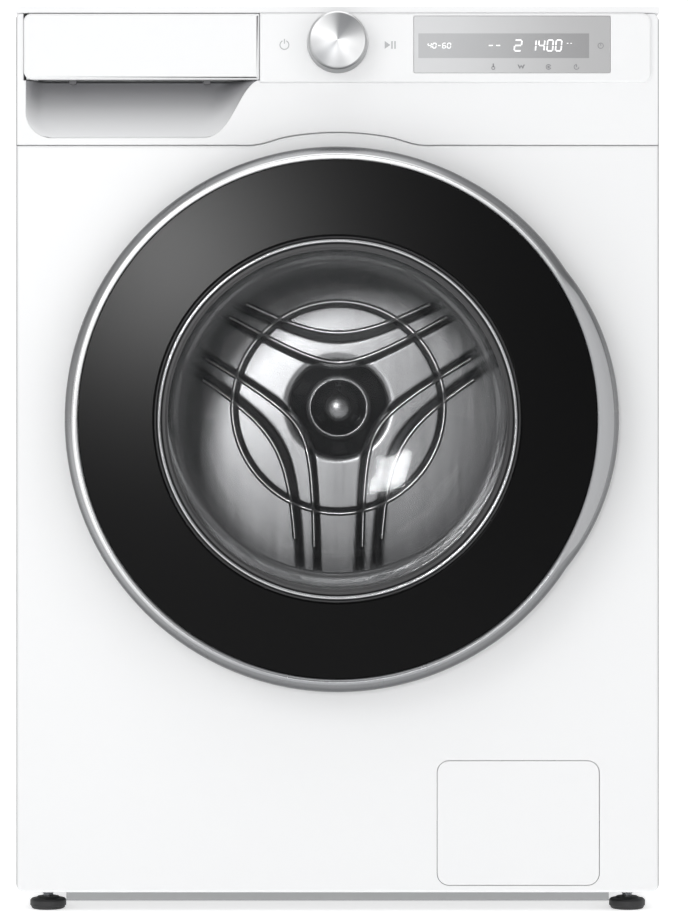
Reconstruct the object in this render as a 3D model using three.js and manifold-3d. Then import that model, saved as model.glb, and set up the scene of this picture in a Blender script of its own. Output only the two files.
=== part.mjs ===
// A front loading washing machine as separate pieces, in millimetres.
// +X runs to the right as seen from the front, +Y runs into the machine and +Z runs up.
// Depths are counted from the face of the front panel; the last lines centre the whole on Y.
import * as THREE from "three";
import { mergeVertices } from "three/addons/utils/BufferGeometryUtils.js";
import Module from "manifold-3d";

const wasm = await Module();
wasm.setup();

// Fits
const GAP = 0.3; // between pieces that touch
const PLAY = 0.5; // around pieces that turn or slide

// Cabinet
const WIDTH = 600;
const HEIGHT = 845;
const DEPTH = 550; // front panel face to rear panel face
const SHEET = 1.5;
const BASE_Z = 10; // underside of the base tray
const PANEL_Z = 19; // lower edge of the front panel
const FRONT_DEPTH = 22; // of the fascia and of the front panel's folded edges
const TOP_THICK = 23;
const TOP_EDGE = 5.7; // what shows of the worktop above the fascia
const SEAM_Z = 716; // between front panel and fascia
const WAVE_RISE = 16; // from the door's edge to the top of the wave in the seam
const WAVE_HALF = 90;
const WAVE_CREST = 50;

// Door
const DOOR_Z = 460;
const DOOR_R = 252;
const DOOR_FRONT = 42; // how far it stands out
const DOOR_BACK = 8; // gap to the front panel
const GLASS_R = 239; // outside of the black glass ring
const GLASS_THICK = 4;
const PORT_R = 169; // inside of the black glass ring
const BOWL_DEPTH = 96; // behind the panel face
const HINGE_X = -238;
const HINGE_Y = -30;
const LATCH_X = 215;

// Tub and drum
const DRUM_Z = 478;
const DRUM_R = 243;
const DRUM_MOUTH_R = 165;
const DRUM_FRONT = 112;
const DRUM_BACK = 400;
const DRUM_ROOM = 15; // between drum and tub
const TUB_WALL = 4;
const TUB_FRONT = 95;
const TUB_BACK = 430;
const TUB_SPLIT = 240;
const MOUTH_R = 180; // opening in the front panel
const SHAFT_R = 15;
const SHAFT_END_R = 12.5;
const PULLEY_R = 140;
const MOTOR_PULLEY_R = 11;
const MOTOR_X = -40;
const MOTOR_DROP = 66; // from the underside of the tub to the motor's axis
const BELT_Y = 502;
const BELT_WIDTH = 16;

// Dispenser, controls and drain
const DRAWER_SIDE = 7.5; // from the cabinet's side to the drawer
const DRAWER_RIGHT = -73;
const DRAWER_BOTTOM = 777;
const DRAWER_LENGTH = 274;
const LIP = 4; // how far drawer and control strip stand proud
const LIP_Z = 774;
const KNOB_Z = 811;
const KNOB_R = 28.5;
const KNOB_REACH = 26;
const WINDOW_LEFT = 71;
const WINDOW_WIDTH = 183;
const WINDOW_Z = 783;
const WINDOW_HIGH = 53;
const FLAP_X = 168.5;
const FLAP_WIDTH = 151;
const FLAP_Z = 26;
const FLAP_HIGH = 116;
const FLAP_CORNER = 11;
const FILTER_R = 30;
const FOOT_SIDE = 27; // from the cabinet's side to a foot's middle
const FOOT_INSET = 35; // from front and rear face
const FOOT_PAD_R = 17;
const STUD_R = 5;

const half = WIDTH / 2;
const drawerLeft = -half + DRAWER_SIDE;
const footX = half - FOOT_SIDE;
const coverBottom = HEIGHT - TOP_THICK;
const tubR = DRUM_R + DRUM_ROOM + TUB_WALL;
const motorZ = DRUM_Z - tubR - MOTOR_DROP;
const fasciaTop = HEIGHT - TOP_EDGE - GAP;
const round = 24;
const fine = 48;

const white = { color: 0xf2f2f2, roughness: 0.35, metalness: 0 };
const steel = { color: 0xb9bcc0, roughness: 0.3, metalness: 1 };
const zinc = { color: 0x9a9da1, roughness: 0.45, metalness: 1 };
const silver = { color: 0xa9abad, roughness: 0.35, metalness: 0.7 };
const black = { color: 0x0b0b0c, roughness: 0.08, metalness: 0 };
const clear = { color: 0xc9d2d4, roughness: 0.05, metalness: 0 };
const grey = { color: 0x8c8f92, roughness: 0.5, metalness: 0 };
const dark = { color: 0x26282a, roughness: 0.6, metalness: 0 };
const stone = { color: 0x8f8c86, roughness: 0.9, metalness: 0 };
const pcb = { color: 0x1f6a3a, roughness: 0.5, metalness: 0 };

// A closed geometry as a solid that can be joined and cut.
function solid(geometry) {
  const bare = geometry.clone();
  bare.deleteAttribute("normal");
  bare.deleteAttribute("uv");
  const merged = mergeVertices(bare, 1e-4);
  const corners = merged.index.array;
  const kept = [];
  for (let i = 0; i < corners.length; i += 3) {
    const [a, b, c] = corners.slice(i, i + 3);
    if (a !== b && b !== c && c !== a) kept.push(a, b, c);
  }
  return new wasm.Manifold(
    new wasm.Mesh({
      numProp: 3,
      vertProperties: merged.attributes.position.array,
      triVerts: new Uint32Array(kept),
    }),
  );
}

function join(first, ...others) {
  return others.reduce((all, other) => all.add(other), first);
}

function cut(first, ...tools) {
  return tools.reduce((rest, tool) => rest.subtract(tool), first);
}

function box(x0, x1, y0, y1, z0, z1) {
  const geometry = new THREE.BoxGeometry(x1 - x0, y1 - y0, z1 - z0);
  return solid(geometry.translate((x0 + x1) / 2, (y0 + y1) / 2, (z0 + z1) / 2));
}

// A ring or disc about a line along Y through (x, z); the outline is a list of [radius, y].
function turned(outline, x, z, segments = round) {
  const points = outline.map(([r, y]) => new THREE.Vector2(r, y));
  if (THREE.ShapeUtils.area(points) < 0) points.reverse();
  if (points.every((p) => p.x > 0)) points.push(points[0].clone());
  else while (points[0].x > 0 || points.at(-1).x > 0) points.push(points.shift());
  return solid(new THREE.LatheGeometry(points, segments).translate(x, 0, z));
}

// The same about an upright line through (x, y); the outline is a list of [radius, z].
function upright(outline, x, y, segments = 16) {
  return turned(outline, 0, 0, segments).rotate([90, 0, 0]).translate([x, y, 0]);
}

function rod(r, y0, y1, x, z, segments = 16) {
  return turned([[0, y0], [r, y0], [r, y1], [0, y1]], x, z, segments);
}

function post(r, z0, z1, x, y, segments = 16) {
  return upright([[0, z0], [r, z0], [r, z1], [0, z1]], x, y, segments);
}

function pipe(outer, inner, y0, y1, x, z, segments = round) {
  return turned([[inner, y0], [outer, y0], [outer, y1], [inner, y1]], x, z, segments);
}

// A flat outline in X and Z, given thickness from y0 to y1.
function slab(shape, y0, y1, curveSegments = 12) {
  const settings = { depth: y1 - y0, bevelEnabled: false, curveSegments };
  return solid(new THREE.ExtrudeGeometry(shape, settings).rotateX(Math.PI / 2).translate(0, y1, 0));
}

// A flat outline in X and Y, given height from z0 to z1.
function plate(shape, z0, z1) {
  const settings = { depth: z1 - z0, bevelEnabled: false, curveSegments: 8 };
  return solid(new THREE.ExtrudeGeometry(shape, settings).translate(0, 0, z0));
}

function polygon(...points) {
  return new THREE.Shape(points.map(([x, y]) => new THREE.Vector2(x, y)));
}

function roundedRectangle(x0, x1, z0, z1, r) {
  const shape = new THREE.Shape();
  shape.moveTo(x0 + r, z0);
  shape.lineTo(x1 - r, z0);
  shape.absarc(x1 - r, z0 + r, r, -Math.PI / 2, 0);
  shape.lineTo(x1, z1 - r);
  shape.absarc(x1 - r, z1 - r, r, 0, Math.PI / 2);
  shape.lineTo(x0 + r, z1);
  shape.absarc(x0 + r, z1 - r, r, Math.PI / 2, Math.PI);
  shape.lineTo(x0, z0 + r);
  shape.absarc(x0 + r, z0 + r, r, Math.PI, Math.PI * 1.5);
  return shape;
}

// A round tube along a smooth line; an arc's outline takes two corners for each segment.
function tube(points, r, steps, sides) {
  const section = new THREE.Shape().absarc(0, 0, r, 0, Math.PI * 2);
  const settings = {
    steps,
    curveSegments: sides / 2,
    extrudePath: new THREE.CatmullRomCurve3(points.map((p) => new THREE.Vector3(...p))),
  };
  return solid(new THREE.ExtrudeGeometry(section, settings));
}

const machine = new THREE.Group();

function add(name, body, look) {
  const found = body.getMesh();
  const geometry = new THREE.BufferGeometry();
  geometry.setAttribute("position", new THREE.BufferAttribute(found.vertProperties, 3));
  geometry.setIndex(new THREE.BufferAttribute(found.triVerts, 1));
  geometry.computeVertexNormals();
  const mesh = new THREE.Mesh(geometry, new THREE.MeshStandardMaterial(look));
  mesh.name = name;
  machine.add(mesh);
}

// ---- Cabinet ----

// Each side panel carries a hanger from which a suspension spring holds the tub.
const SPRING_IN = 37; // from the tub's side to the spring
const SPRING_BEHIND = 55; // from the end of the drawer to the spring
const springX = tubR - SPRING_IN;
const springY = DRAWER_LENGTH + FRONT_DEPTH - 6 + SPRING_BEHIND;
const HANGER_Z = 795;

function sidePanel(side) {
  const outer = side * half;
  const inner = side * (half - SHEET);
  const [x0, x1] = [Math.min(outer, inner), Math.max(outer, inner)];
  const wall = box(x0, x1, FRONT_DEPTH + GAP, DEPTH - SHEET - GAP, PANEL_Z, coverBottom - GAP);
  const reach = side * (springX - 12);
  const [h0, h1] = [Math.min(outer, reach), Math.max(outer, reach)];
  return join(wall, box(h0, h1, springY - 15, springY + 15, HANGER_Z, HANGER_Z + 5));
}
add("side_panel_left", sidePanel(-1), white);
add("side_panel_right", sidePanel(1), white);

const COVER_R = 195;
const INLET_X = -180;
const INLET_Z = 790;
const StubR = 10;
const OUTLET_X = -235;
const OUTLET_Z = 650;
const GLAND_X = 235;
const GLAND_Z = 770;

function rearPanel() {
  const sheet = box(-half, half, DEPTH - SHEET, DEPTH, PANEL_Z, coverBottom - GAP);
  const hole = (r, x, z) => rod(r, DEPTH - 10, DEPTH + 10, x, z, round);
  return cut(
    sheet,
    hole(COVER_R - 15, 0, DRUM_Z),
    hole(StubR + PLAY, INLET_X, INLET_Z),
    hole(StubR + PLAY, OUTLET_X, OUTLET_Z),
    hole(StubR + PLAY, GLAND_X, GLAND_Z),
  );
}
add("rear_panel", rearPanel(), white);

function beltCover() {
  const y = DEPTH + GAP;
  return turned(
    [[0, y + 10], [COVER_R - 25, y + 10], [COVER_R - 12, y + 2], [COVER_R, y + 2], [COVER_R, y],
      [COVER_R - 14, y], [COVER_R - 27, y + 8], [0, y + 8]],
    0, DRUM_Z,
  );
}
add("rear_belt_cover", beltCover(), zinc);

// The tray stands in from the corners, where the feet screw in.
function baseTray() {
  const shelf = PANEL_Z + SHEET;
  const upper = box(-half + SHEET + GAP, half - SHEET - GAP, FRONT_DEPTH + GAP, DEPTH - SHEET - GAP, shelf, shelf + 4);
  const skirt = box(-half + 46, half - 46, 12, DEPTH - 12, BASE_Z, PANEL_Z - GAP);
  const core = box(-half + 50, half - 50, FRONT_DEPTH + GAP, DEPTH - 20, PANEL_Z - 1, shelf + 1);
  const holes = footPlaces().map(([, x, y]) => post(STUD_R + PLAY, 0, 60, x, y));
  return cut(join(upper, skirt, core), ...holes);
}

function footPlaces() {
  return [
    ["foot_front_left", -footX, FOOT_INSET],
    ["foot_front_right", footX, FOOT_INSET],
    ["foot_rear_left", -footX, DEPTH - FOOT_INSET],
    ["foot_rear_right", footX, DEPTH - FOOT_INSET],
  ];
}
add("base_tray", baseTray(), grey);

// Rubber pad, threaded stud and lock nut in one turned piece.
function foot(x, y) {
  const nut = PANEL_Z + SHEET - GAP;
  return upright(
    [[0, 0], [FOOT_PAD_R - 2, 0], [FOOT_PAD_R, 2], [FOOT_PAD_R, 8], [11, 11.8], [STUD_R, 11.8],
      [STUD_R, nut - 5], [9, nut - 5], [9, nut], [STUD_R, nut], [STUD_R, nut + 26], [0, nut + 26]],
    x, y,
  );
}
for (const [name, x, y] of footPlaces()) add(name, foot(x, y), dark);

// The seam between front panel and fascia rises in a wave over the door.
// The outline starts and ends at the cabinet's sides and runs from right to left.
function waveTo(shape) {
  const crestR = DOOR_R + WAVE_RISE;
  const turn = Math.acos(WAVE_CREST / crestR);
  const shoulder = DOOR_Z + crestR * Math.sin(turn);
  const z = SEAM_Z;
  shape.lineTo(WAVE_HALF, z);
  shape.bezierCurveTo(WAVE_HALF - 22, z, WAVE_CREST + 12, shoulder - 2.5, WAVE_CREST, shoulder);
  shape.absarc(0, DOOR_Z, crestR, turn, Math.PI - turn, false);
  shape.bezierCurveTo(-WAVE_CREST - 12, shoulder - 2.5, -WAVE_HALF + 22, z, -WAVE_HALF, z);
  shape.lineTo(-half, z);
}

const LATCH_SLOT = [LATCH_X - 6, LATCH_X + 11];
const LATCH_Z = [DOOR_Z - 12, DOOR_Z + 12];

function panelOutline() {
  const outline = new THREE.Shape();
  outline.moveTo(-half, PANEL_Z + 8);
  outline.absarc(-half + 8, PANEL_Z + 8, 8, Math.PI, Math.PI * 1.5);
  outline.lineTo(half - 8, PANEL_Z);
  outline.absarc(half - 8, PANEL_Z + 8, 8, -Math.PI / 2, 0);
  outline.lineTo(half, SEAM_Z);
  waveTo(outline);
  return outline;
}

function frontPanel() {
  const hollow = box(
    -half + SHEET, half - SHEET, SHEET, FRONT_DEPTH + 1, PANEL_Z + SHEET, SEAM_Z - SHEET,
  );
  const flapHole = roundedRectangle(
    FLAP_X - FLAP_WIDTH / 2 - 1, FLAP_X + FLAP_WIDTH / 2 + 1,
    FLAP_Z - 1, FLAP_Z + FLAP_HIGH + 1, FLAP_CORNER + 1,
  );
  return cut(
    slab(panelOutline(), 0, FRONT_DEPTH, 16),
    hollow,
    rod(MOUTH_R, -5, 5, 0, DOOR_Z, fine),
    slab(flapHole, -1, 5, 6),
    box(...LATCH_SLOT, -1, 5, ...LATCH_Z),
  );
}
add("front_panel", frontPanel(), white);

function topCover() {
  const slabTop = box(-half, half, -2, DEPTH, HEIGHT - TOP_EDGE, HEIGHT);
  const rim = box(-half, half, FRONT_DEPTH + GAP, DEPTH, coverBottom, HEIGHT - TOP_EDGE + 1);
  const inside = box(
    -half + 3, half - 3, FRONT_DEPTH - 1, DEPTH - 3, coverBottom - 1, HEIGHT - TOP_EDGE,
  );
  return join(slabTop, cut(rim, inside));
}
add("top_cover", topCover(), white);

// ---- Control fascia ----

const RECESS_Z = 723;
const RECESS_DEEP = 19;
const RECESS_CORNER = 24;
const RECESS_SLANT = 38;

function fingerRecess() {
  const left = drawerLeft + 2;
  const right = DRAWER_RIGHT - 2;
  const shape = new THREE.Shape();
  shape.moveTo(left, DRAWER_BOTTOM + 1);
  shape.lineTo(left, RECESS_Z + RECESS_CORNER);
  shape.absarc(left + RECESS_CORNER, RECESS_Z + RECESS_CORNER, RECESS_CORNER, Math.PI, Math.PI * 1.5);
  shape.lineTo(right - RECESS_SLANT - 12, RECESS_Z);
  shape.bezierCurveTo(
    right - RECESS_SLANT + 14, RECESS_Z, right - 18, DRAWER_BOTTOM - 8, right, DRAWER_BOTTOM + 1,
  );
  return shape;
}

function controlFascia() {
  const blank = box(-half, half, 0, FRONT_DEPTH, SEAM_Z - 1, fasciaTop);
  const panelSpace = slab(panelOutline(), -LIP - 1, FRONT_DEPTH + 1, 16).translate([0, 0, GAP]);
  const strip = box(DRAWER_RIGHT + PLAY, half - 8, -LIP, 1, LIP_Z, fasciaTop);
  const drawerWay = box(
    drawerLeft - PLAY, DRAWER_RIGHT + PLAY, -1, FRONT_DEPTH + 1, DRAWER_BOTTOM - PLAY, HEIGHT,
  );
  const windowPocket = box(
    WINDOW_LEFT - GAP, WINDOW_LEFT + WINDOW_WIDTH + GAP,
    -LIP - 1, -1, WINDOW_Z - GAP, WINDOW_Z + WINDOW_HIGH + GAP,
  );
  return cut(
    join(blank, strip),
    panelSpace,
    drawerWay,
    slab(fingerRecess(), -1, RECESS_DEEP, 10),
    windowPocket,
    rod(4, -10, FRONT_DEPTH + 1, 0, KNOB_Z),
  );
}
add("control_fascia", controlFascia(), white);

add(
  "display_window",
  box(
    WINDOW_LEFT, WINDOW_LEFT + WINDOW_WIDTH, -LIP - 0.2, -1 - GAP, WINDOW_Z, WINDOW_Z + WINDOW_HIGH,
  ),
  silver,
);
add("control_board", box(60, 262, FRONT_DEPTH + GAP, FRONT_DEPTH + 9, 762, 818), pcb);

const KNOB_SHAFT_R = 3;
function programmeKnob() {
  const back = -LIP - PLAY;
  const face = -KNOB_REACH;
  return turned(
    [[0, face], [KNOB_R - 2.5, face], [KNOB_R - 0.8, face + 1.7], [KNOB_R, back - 3], [KNOB_R, back],
      [KNOB_SHAFT_R, back], [KNOB_SHAFT_R, FRONT_DEPTH + 12], [0, FRONT_DEPTH + 12]],
    0, KNOB_Z,
  );
}
add("programme_knob", programmeKnob(), silver);

function encoder() {
  const housing = box(-14, 14, FRONT_DEPTH + GAP, FRONT_DEPTH + 18, KNOB_Z - 14, KNOB_Z + 10);
  return cut(housing, rod(KNOB_SHAFT_R + PLAY, FRONT_DEPTH - 1, FRONT_DEPTH + 13, 0, KNOB_Z));
}
add("knob_encoder", encoder(), dark);

// ---- Detergent dispenser ----

const TRAY_WALL = 2;
const HOUSING_WALL = 2.5;
const TRAY_LEFT = drawerLeft + 11;
const TRAY_RIGHT = DRAWER_RIGHT - 11;
const TRAY_BOTTOM = DRAWER_BOTTOM + 4;
const TRAY_TOP = 818;
const DRAWER_THICK = 16;

function drawerFront() {
  const front = box(
    drawerLeft, DRAWER_RIGHT, -LIP, DRAWER_THICK, DRAWER_BOTTOM, fasciaTop - PLAY,
  );
  const fingers = box(
    drawerLeft + 12, DRAWER_RIGHT - 12, 2, DRAWER_THICK - 3, DRAWER_BOTTOM - 1, DRAWER_BOTTOM + 20,
  );
  return cut(front, fingers);
}
add("drawer_front", drawerFront(), white);

function detergentTray() {
  const y0 = DRAWER_THICK + GAP;
  const y1 = y0 + DRAWER_LENGTH;
  const width = TRAY_RIGHT - TRAY_LEFT;
  const stops = [0, 0.36, 0.72, 1];
  const rooms = stops.slice(1).map((stop, i) =>
    box(
      TRAY_LEFT + width * stops[i] + TRAY_WALL, TRAY_LEFT + width * stop - TRAY_WALL / (i < 2 ? 2 : 1),
      y0 + TRAY_WALL, y1 - TRAY_WALL, TRAY_BOTTOM + TRAY_WALL, TRAY_TOP + 1,
    ),
  );
  return cut(box(TRAY_LEFT, TRAY_RIGHT, y0, y1, TRAY_BOTTOM, TRAY_TOP), ...rooms);
}
add("detergent_drawer", detergentTray(), grey);

function drawerHousing() {
  const y0 = FRONT_DEPTH + GAP;
  const y1 = DRAWER_THICK + GAP + DRAWER_LENGTH + 8;
  const room = [
    TRAY_LEFT - PLAY * 2, TRAY_RIGHT + PLAY * 2, y0 - 1, y1 - HOUSING_WALL, TRAY_BOTTOM - PLAY * 2,
    TRAY_TOP + 2,
  ];
  const outer = box(
    room[0] - HOUSING_WALL, room[1] + HOUSING_WALL, y0, y1, room[4] - HOUSING_WALL,
    room[5] + HOUSING_WALL,
  );
  return cut(outer, box(...room));
}
add("drawer_housing", drawerHousing(), grey);

function inletValve() {
  const block = box(INLET_X - 20, INLET_X + 20, DEPTH - 55, DEPTH - 15, INLET_Z - 20, INLET_Z + 15);
  return cut(
    join(block, rod(StubR, DEPTH - 16, DEPTH + 15, INLET_X, INLET_Z)),
    rod(StubR - 3, DEPTH - 5, DEPTH + 20, INLET_X, INLET_Z),
  );
}
add("inlet_valve", inletValve(), white);

function drainOutlet() {
  const stub = rod(StubR, DEPTH - 30, DEPTH + 18, OUTLET_X, OUTLET_Z);
  const flange = rod(StubR + 6, DEPTH - 6, DEPTH - SHEET - GAP, OUTLET_X, OUTLET_Z);
  return cut(join(stub, flange), rod(StubR - 2.5, DEPTH - 35, DEPTH + 20, OUTLET_X, OUTLET_Z));
}
add("drain_outlet", drainOutlet(), grey);

function cordGland() {
  const y = DEPTH - SHEET - GAP;
  const body = join(
    rod(StubR, y - 12, DEPTH + 9, GLAND_X, GLAND_Z),
    rod(StubR + 5, y - 12, y, GLAND_X, GLAND_Z),
  );
  return cut(body, rod(4, y - 20, DEPTH + 20, GLAND_X, GLAND_Z));
}
add("cord_gland", cordGland(), dark);

// ---- Door ----

const HANDLE_OUT = 8; // how far the grip bulges past the ring
const HANDLE_SHIFT = 42;
const HANDLE_THICK = 20;
const HINGE_HALF = 40;
const LUG = 12;
const KNUCKLE_R = 5;
const PIN_R = 2.5;

// Where the hinge's two fixed lugs and the knuckle between them need room in the door.
function hingePocket(left, right) {
  const room = 1.5;
  const low = DOOR_Z - HINGE_HALF - room;
  const high = DOOR_Z + HINGE_HALF + room;
  const knuckle = box(
    HINGE_X - KNUCKLE_R - room, HINGE_X + 12, HINGE_Y - KNUCKLE_R - room, 0, low, high,
  );
  const slots = [[low, low + LUG + 2 * room], [high - LUG - 2 * room, high]].map(([z0, z1]) =>
    box(left, right, HINGE_Y - KNUCKLE_R - room, 0, z0, z1),
  );
  return join(knuckle, ...slots);
}

function doorRing() {
  const ring = turned(
    [[GLASS_R + GAP, -DOOR_FRONT + 3], [GLASS_R + 4, -DOOR_FRONT], [GLASS_R + 7, -DOOR_FRONT + 1.5],
      [DOOR_R, -DOOR_FRONT + 12], [DOOR_R, -DOOR_BACK - 4], [DOOR_R - 4, -DOOR_BACK],
      [GLASS_R - 3, -DOOR_BACK], [GLASS_R - 3, -DOOR_FRONT + 3 + GLASS_THICK],
      [GLASS_R + GAP, -DOOR_FRONT + 3 + GLASS_THICK]],
    0, DOOR_Z, fine,
  );
  const gripBack = -DOOR_FRONT + HANDLE_THICK;
  const gripR = DOOR_R + HANDLE_OUT - HANDLE_SHIFT;
  const bulge = cut(
    turned(
      [[0, -DOOR_FRONT + 1], [gripR - 4, -DOOR_FRONT + 1], [gripR, -DOOR_FRONT + 6],
        [gripR, gripBack - 4], [gripR - 4, gripBack], [0, gripBack]],
      HANDLE_SHIFT, DOOR_Z, fine,
    ),
    rod(GLASS_R + GAP, -DOOR_FRONT - 5, 5, 0, DOOR_Z, fine),
    box(-400, DOOR_R * 0.6, -100, 50, 0, 900),
  );
  const fingers = cut(
    rod(gripR + 60, gripBack, 5, HANDLE_SHIFT, DOOR_Z, fine),
    rod(GLASS_R - 3 + GAP * 0, gripBack - 1, 6, 0, DOOR_Z, fine),
    box(-400, DOOR_R * 0.84, -100, 50, 0, 900),
  );
  return cut(join(ring, bulge), fingers, hingePocket(-DOOR_R - 20, HINGE_X + 40));
}
add("door_ring", doorRing(), silver);

const glassFront = -DOOR_FRONT + 3;
const glassBack = glassFront + GLASS_THICK;
add(
  "door_glass_ring",
  pipe(GLASS_R, PORT_R, glassFront, glassBack - GAP, 0, DOOR_Z, fine),
  black,
);

const FRAME_R = GLASS_R - 3 - GAP;
const FRAME_MOUTH_R = 173;
const FRAME_WALL = 3.5;

// A plastic channel, open towards the glass, which carries hinge, latch and bowl.
function innerFrame() {
  const channel = turned(
    [[FRAME_MOUTH_R, glassBack], [FRAME_MOUTH_R + FRAME_WALL, glassBack],
      [FRAME_MOUTH_R + FRAME_WALL, -DOOR_BACK - FRAME_WALL], [FRAME_R - FRAME_WALL, -DOOR_BACK - FRAME_WALL],
      [FRAME_R - FRAME_WALL, glassBack], [FRAME_R, glassBack], [FRAME_R, -DOOR_BACK],
      [FRAME_MOUTH_R, -DOOR_BACK]],
    0, DOOR_Z, fine,
  );
  const latchWay = box(LATCH_X - 8, LATCH_X + 8, -DOOR_BACK - 8, 0, DOOR_Z - 11, DOOR_Z + 11);
  return cut(channel, hingePocket(-DOOR_R - 20, -178), latchWay);
}
add("door_inner_frame", innerFrame(), grey);

function doorBowl() {
  const rim = FRAME_MOUTH_R - GAP;
  return turned(
    [[152, glassBack], [rim, glassBack], [rim, glassBack + 5], [158, glassBack + 8], [155, 0],
      [149, 45], [140, 74], [122, 87], [70, BOWL_DEPTH - 2], [0, BOWL_DEPTH], [0, BOWL_DEPTH - 5],
      [70, BOWL_DEPTH - 7], [118, 82.5], [135, 71], [144, 44], [150, 0]],
    0, DOOR_Z, fine,
  );
}
add("door_bowl", doorBowl(), clear);

// The bracket is screwed to the front panel; its lugs reach forward to the pin.
function hingeBracket() {
  const foot = box(
    HINGE_X + 16, -MOUTH_R - 3, -3, -GAP, DOOR_Z - HINGE_HALF - 8, DOOR_Z + HINGE_HALF + 8,
  );
  const side = polygon(
    [HINGE_X - 1, HINGE_Y + 4], [HINGE_X + 2.5, HINGE_Y - 4], [-MOUTH_R - 6, -4], [-MOUTH_R - 6, -2],
    [-MOUTH_R - 20, -2],
  );
  const lugs = [DOOR_Z - HINGE_HALF, DOOR_Z + HINGE_HALF - LUG].map((z) =>
    join(plate(side, z, z + LUG), post(KNUCKLE_R, z, z + LUG, HINGE_X, HINGE_Y)),
  );
  const hole = post(PIN_R + GAP, 0, HEIGHT, HINGE_X, HINGE_Y, 16);
  return cut(join(foot, ...lugs), hole);
}
add("door_hinge_bracket", hingeBracket(), zinc);

const leafLow = DOOR_Z - HINGE_HALF + LUG + GAP;
const leafHigh = DOOR_Z + HINGE_HALF - LUG - GAP;
function hingeLeaf() {
  const knuckle = post(KNUCKLE_R, leafLow, leafHigh, HINGE_X, HINGE_Y);
  const arm = box(HINGE_X, -MOUTH_R - 4, HINGE_Y - 1.5, HINGE_Y + 1.5, leafLow, leafHigh);
  const hole = post(PIN_R + GAP, 0, HEIGHT, HINGE_X, HINGE_Y, 16);
  return cut(join(knuckle, arm), hole);
}
add("door_hinge_leaf", hingeLeaf(), zinc);
add(
  "door_hinge_pin",
  post(PIN_R, DOOR_Z - HINGE_HALF, DOOR_Z + HINGE_HALF, HINGE_X, HINGE_Y, 16),
  steel,
);

// The hook tips sideways on its pin and drops behind the lock's edge.
const HOOK_REACH = 22;
function latchHook() {
  const low = DOOR_Z - 7;
  const high = DOOR_Z + 7;
  const shank = box(LATCH_X - 3, LATCH_X + 3, -DOOR_BACK - 5, HOOK_REACH, low, high);
  const barb = box(LATCH_X - 5, LATCH_X + 1, HOOK_REACH - 5, HOOK_REACH, low, high);
  const boss = post(5, low, high, LATCH_X, -DOOR_BACK - FRAME_WALL - 5.5);
  return join(shank, barb, boss);
}
add("latch_hook", latchHook(), zinc);

function doorLock() {
  const housing = box(LATCH_X - 16, LATCH_X + 22, SHEET + GAP, 34, DOOR_Z - 35, DOOR_Z + 35);
  return cut(housing, box(...LATCH_SLOT, 0, HOOK_REACH + 4, ...LATCH_Z));
}
add("door_lock", doorLock(), white);

// ---- Tub ----

// How far the tub's skin is above or below its axis at a place along X.
const tubRise = (x) => Math.sqrt(tubR ** 2 - x ** 2);
const tubSpace = () => rod(tubR + GAP, TUB_FRONT - 60, TUB_BACK + 5, 0, DRUM_Z, fine);
const lugTop = DRUM_Z + tubRise(springX) + 10;
const COLLAR_R = 182;
const SLEEVE_R = COLLAR_R + GAP; // inside of the gasket's sleeve

function tubFront() {
  const inside = tubR - TUB_WALL;
  return turned(
    [[COLLAR_R, TUB_FRONT - 30], [COLLAR_R, TUB_FRONT], [tubR, TUB_FRONT], [tubR, TUB_SPLIT - GAP],
      [inside, TUB_SPLIT - GAP], [inside, TUB_FRONT + TUB_WALL],
      [COLLAR_R - TUB_WALL, TUB_FRONT + TUB_WALL], [COLLAR_R - TUB_WALL, TUB_FRONT - 30]],
    0, DRUM_Z, fine,
  );
}
add("tub_front", tubFront(), grey);

const BEARING_FRONT = [31, SHAFT_R, 440, 16];
const BEARING_REAR = [26, SHAFT_END_R, 470, 15];
const HUB_R = 42;
const HUB_END = BEARING_REAR[2] + BEARING_REAR[3] + 4;
const HEATER_X = 25;

function tubRear() {
  const inside = tubR - TUB_WALL;
  const [frontR, , frontY, frontW] = BEARING_FRONT;
  const [rearR, , rearY] = BEARING_REAR;
  const shell = turned(
    [[inside, TUB_SPLIT], [tubR, TUB_SPLIT], [tubR, TUB_BACK], [HUB_R, TUB_BACK], [HUB_R, HUB_END],
      [rearR + GAP, HUB_END], [rearR + GAP, rearY - GAP], [rearR - 5, rearY - GAP],
      [rearR - 5, frontY + frontW + GAP], [frontR + GAP, frontY + frontW + GAP],
      [frontR + GAP, TUB_BACK - TUB_WALL], [inside, TUB_BACK - TUB_WALL]],
    0, DRUM_Z, fine,
  );
  const lugs = [-1, 1].map((side) =>
    box(
      side * springX - 10, side * springX + 10, springY - 10, springY + 10, lugTop - 22, lugTop,
    ),
  );
  const bore = rod(inside, TUB_SPLIT - 1, TUB_BACK - TUB_WALL, 0, DRUM_Z, fine);
  const plug = heaterPlug(GAP);
  return cut(join(shell, ...lugs.map((lug) => cut(lug, bore))), plug);
}

function heaterPlug(room) {
  const z = DRUM_Z - DRUM_R - 9;
  return box(
    -HEATER_X - 10 - room, HEATER_X + 10 + room, TUB_BACK - TUB_WALL - 2 - room, TUB_BACK + 6 + room,
    z - 5 - room, z + 5 + room,
  );
}
add("tub_rear", tubRear(), grey);

// A tubular element bent into a U in the gap under the drum.
function heater() {
  const middle = (tubR - TUB_WALL + DRUM_R) / 2;
  const z = DRUM_Z - Math.sqrt(middle ** 2 - HEATER_X ** 2);
  const back = TUB_BACK - TUB_WALL;
  const leg = (side) => [[side * HEATER_X, back, z], [side * HEATER_X, 300, z], [side * HEATER_X, 200, z]];
  const bend = [[0, 175, z - 1]];
  const loop = [...leg(-1), ...bend, ...leg(1).reverse()];
  return join(tube(loop, 3.5, 22, 6), heaterPlug(0));
}
add("heater", heater(), steel);

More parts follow.
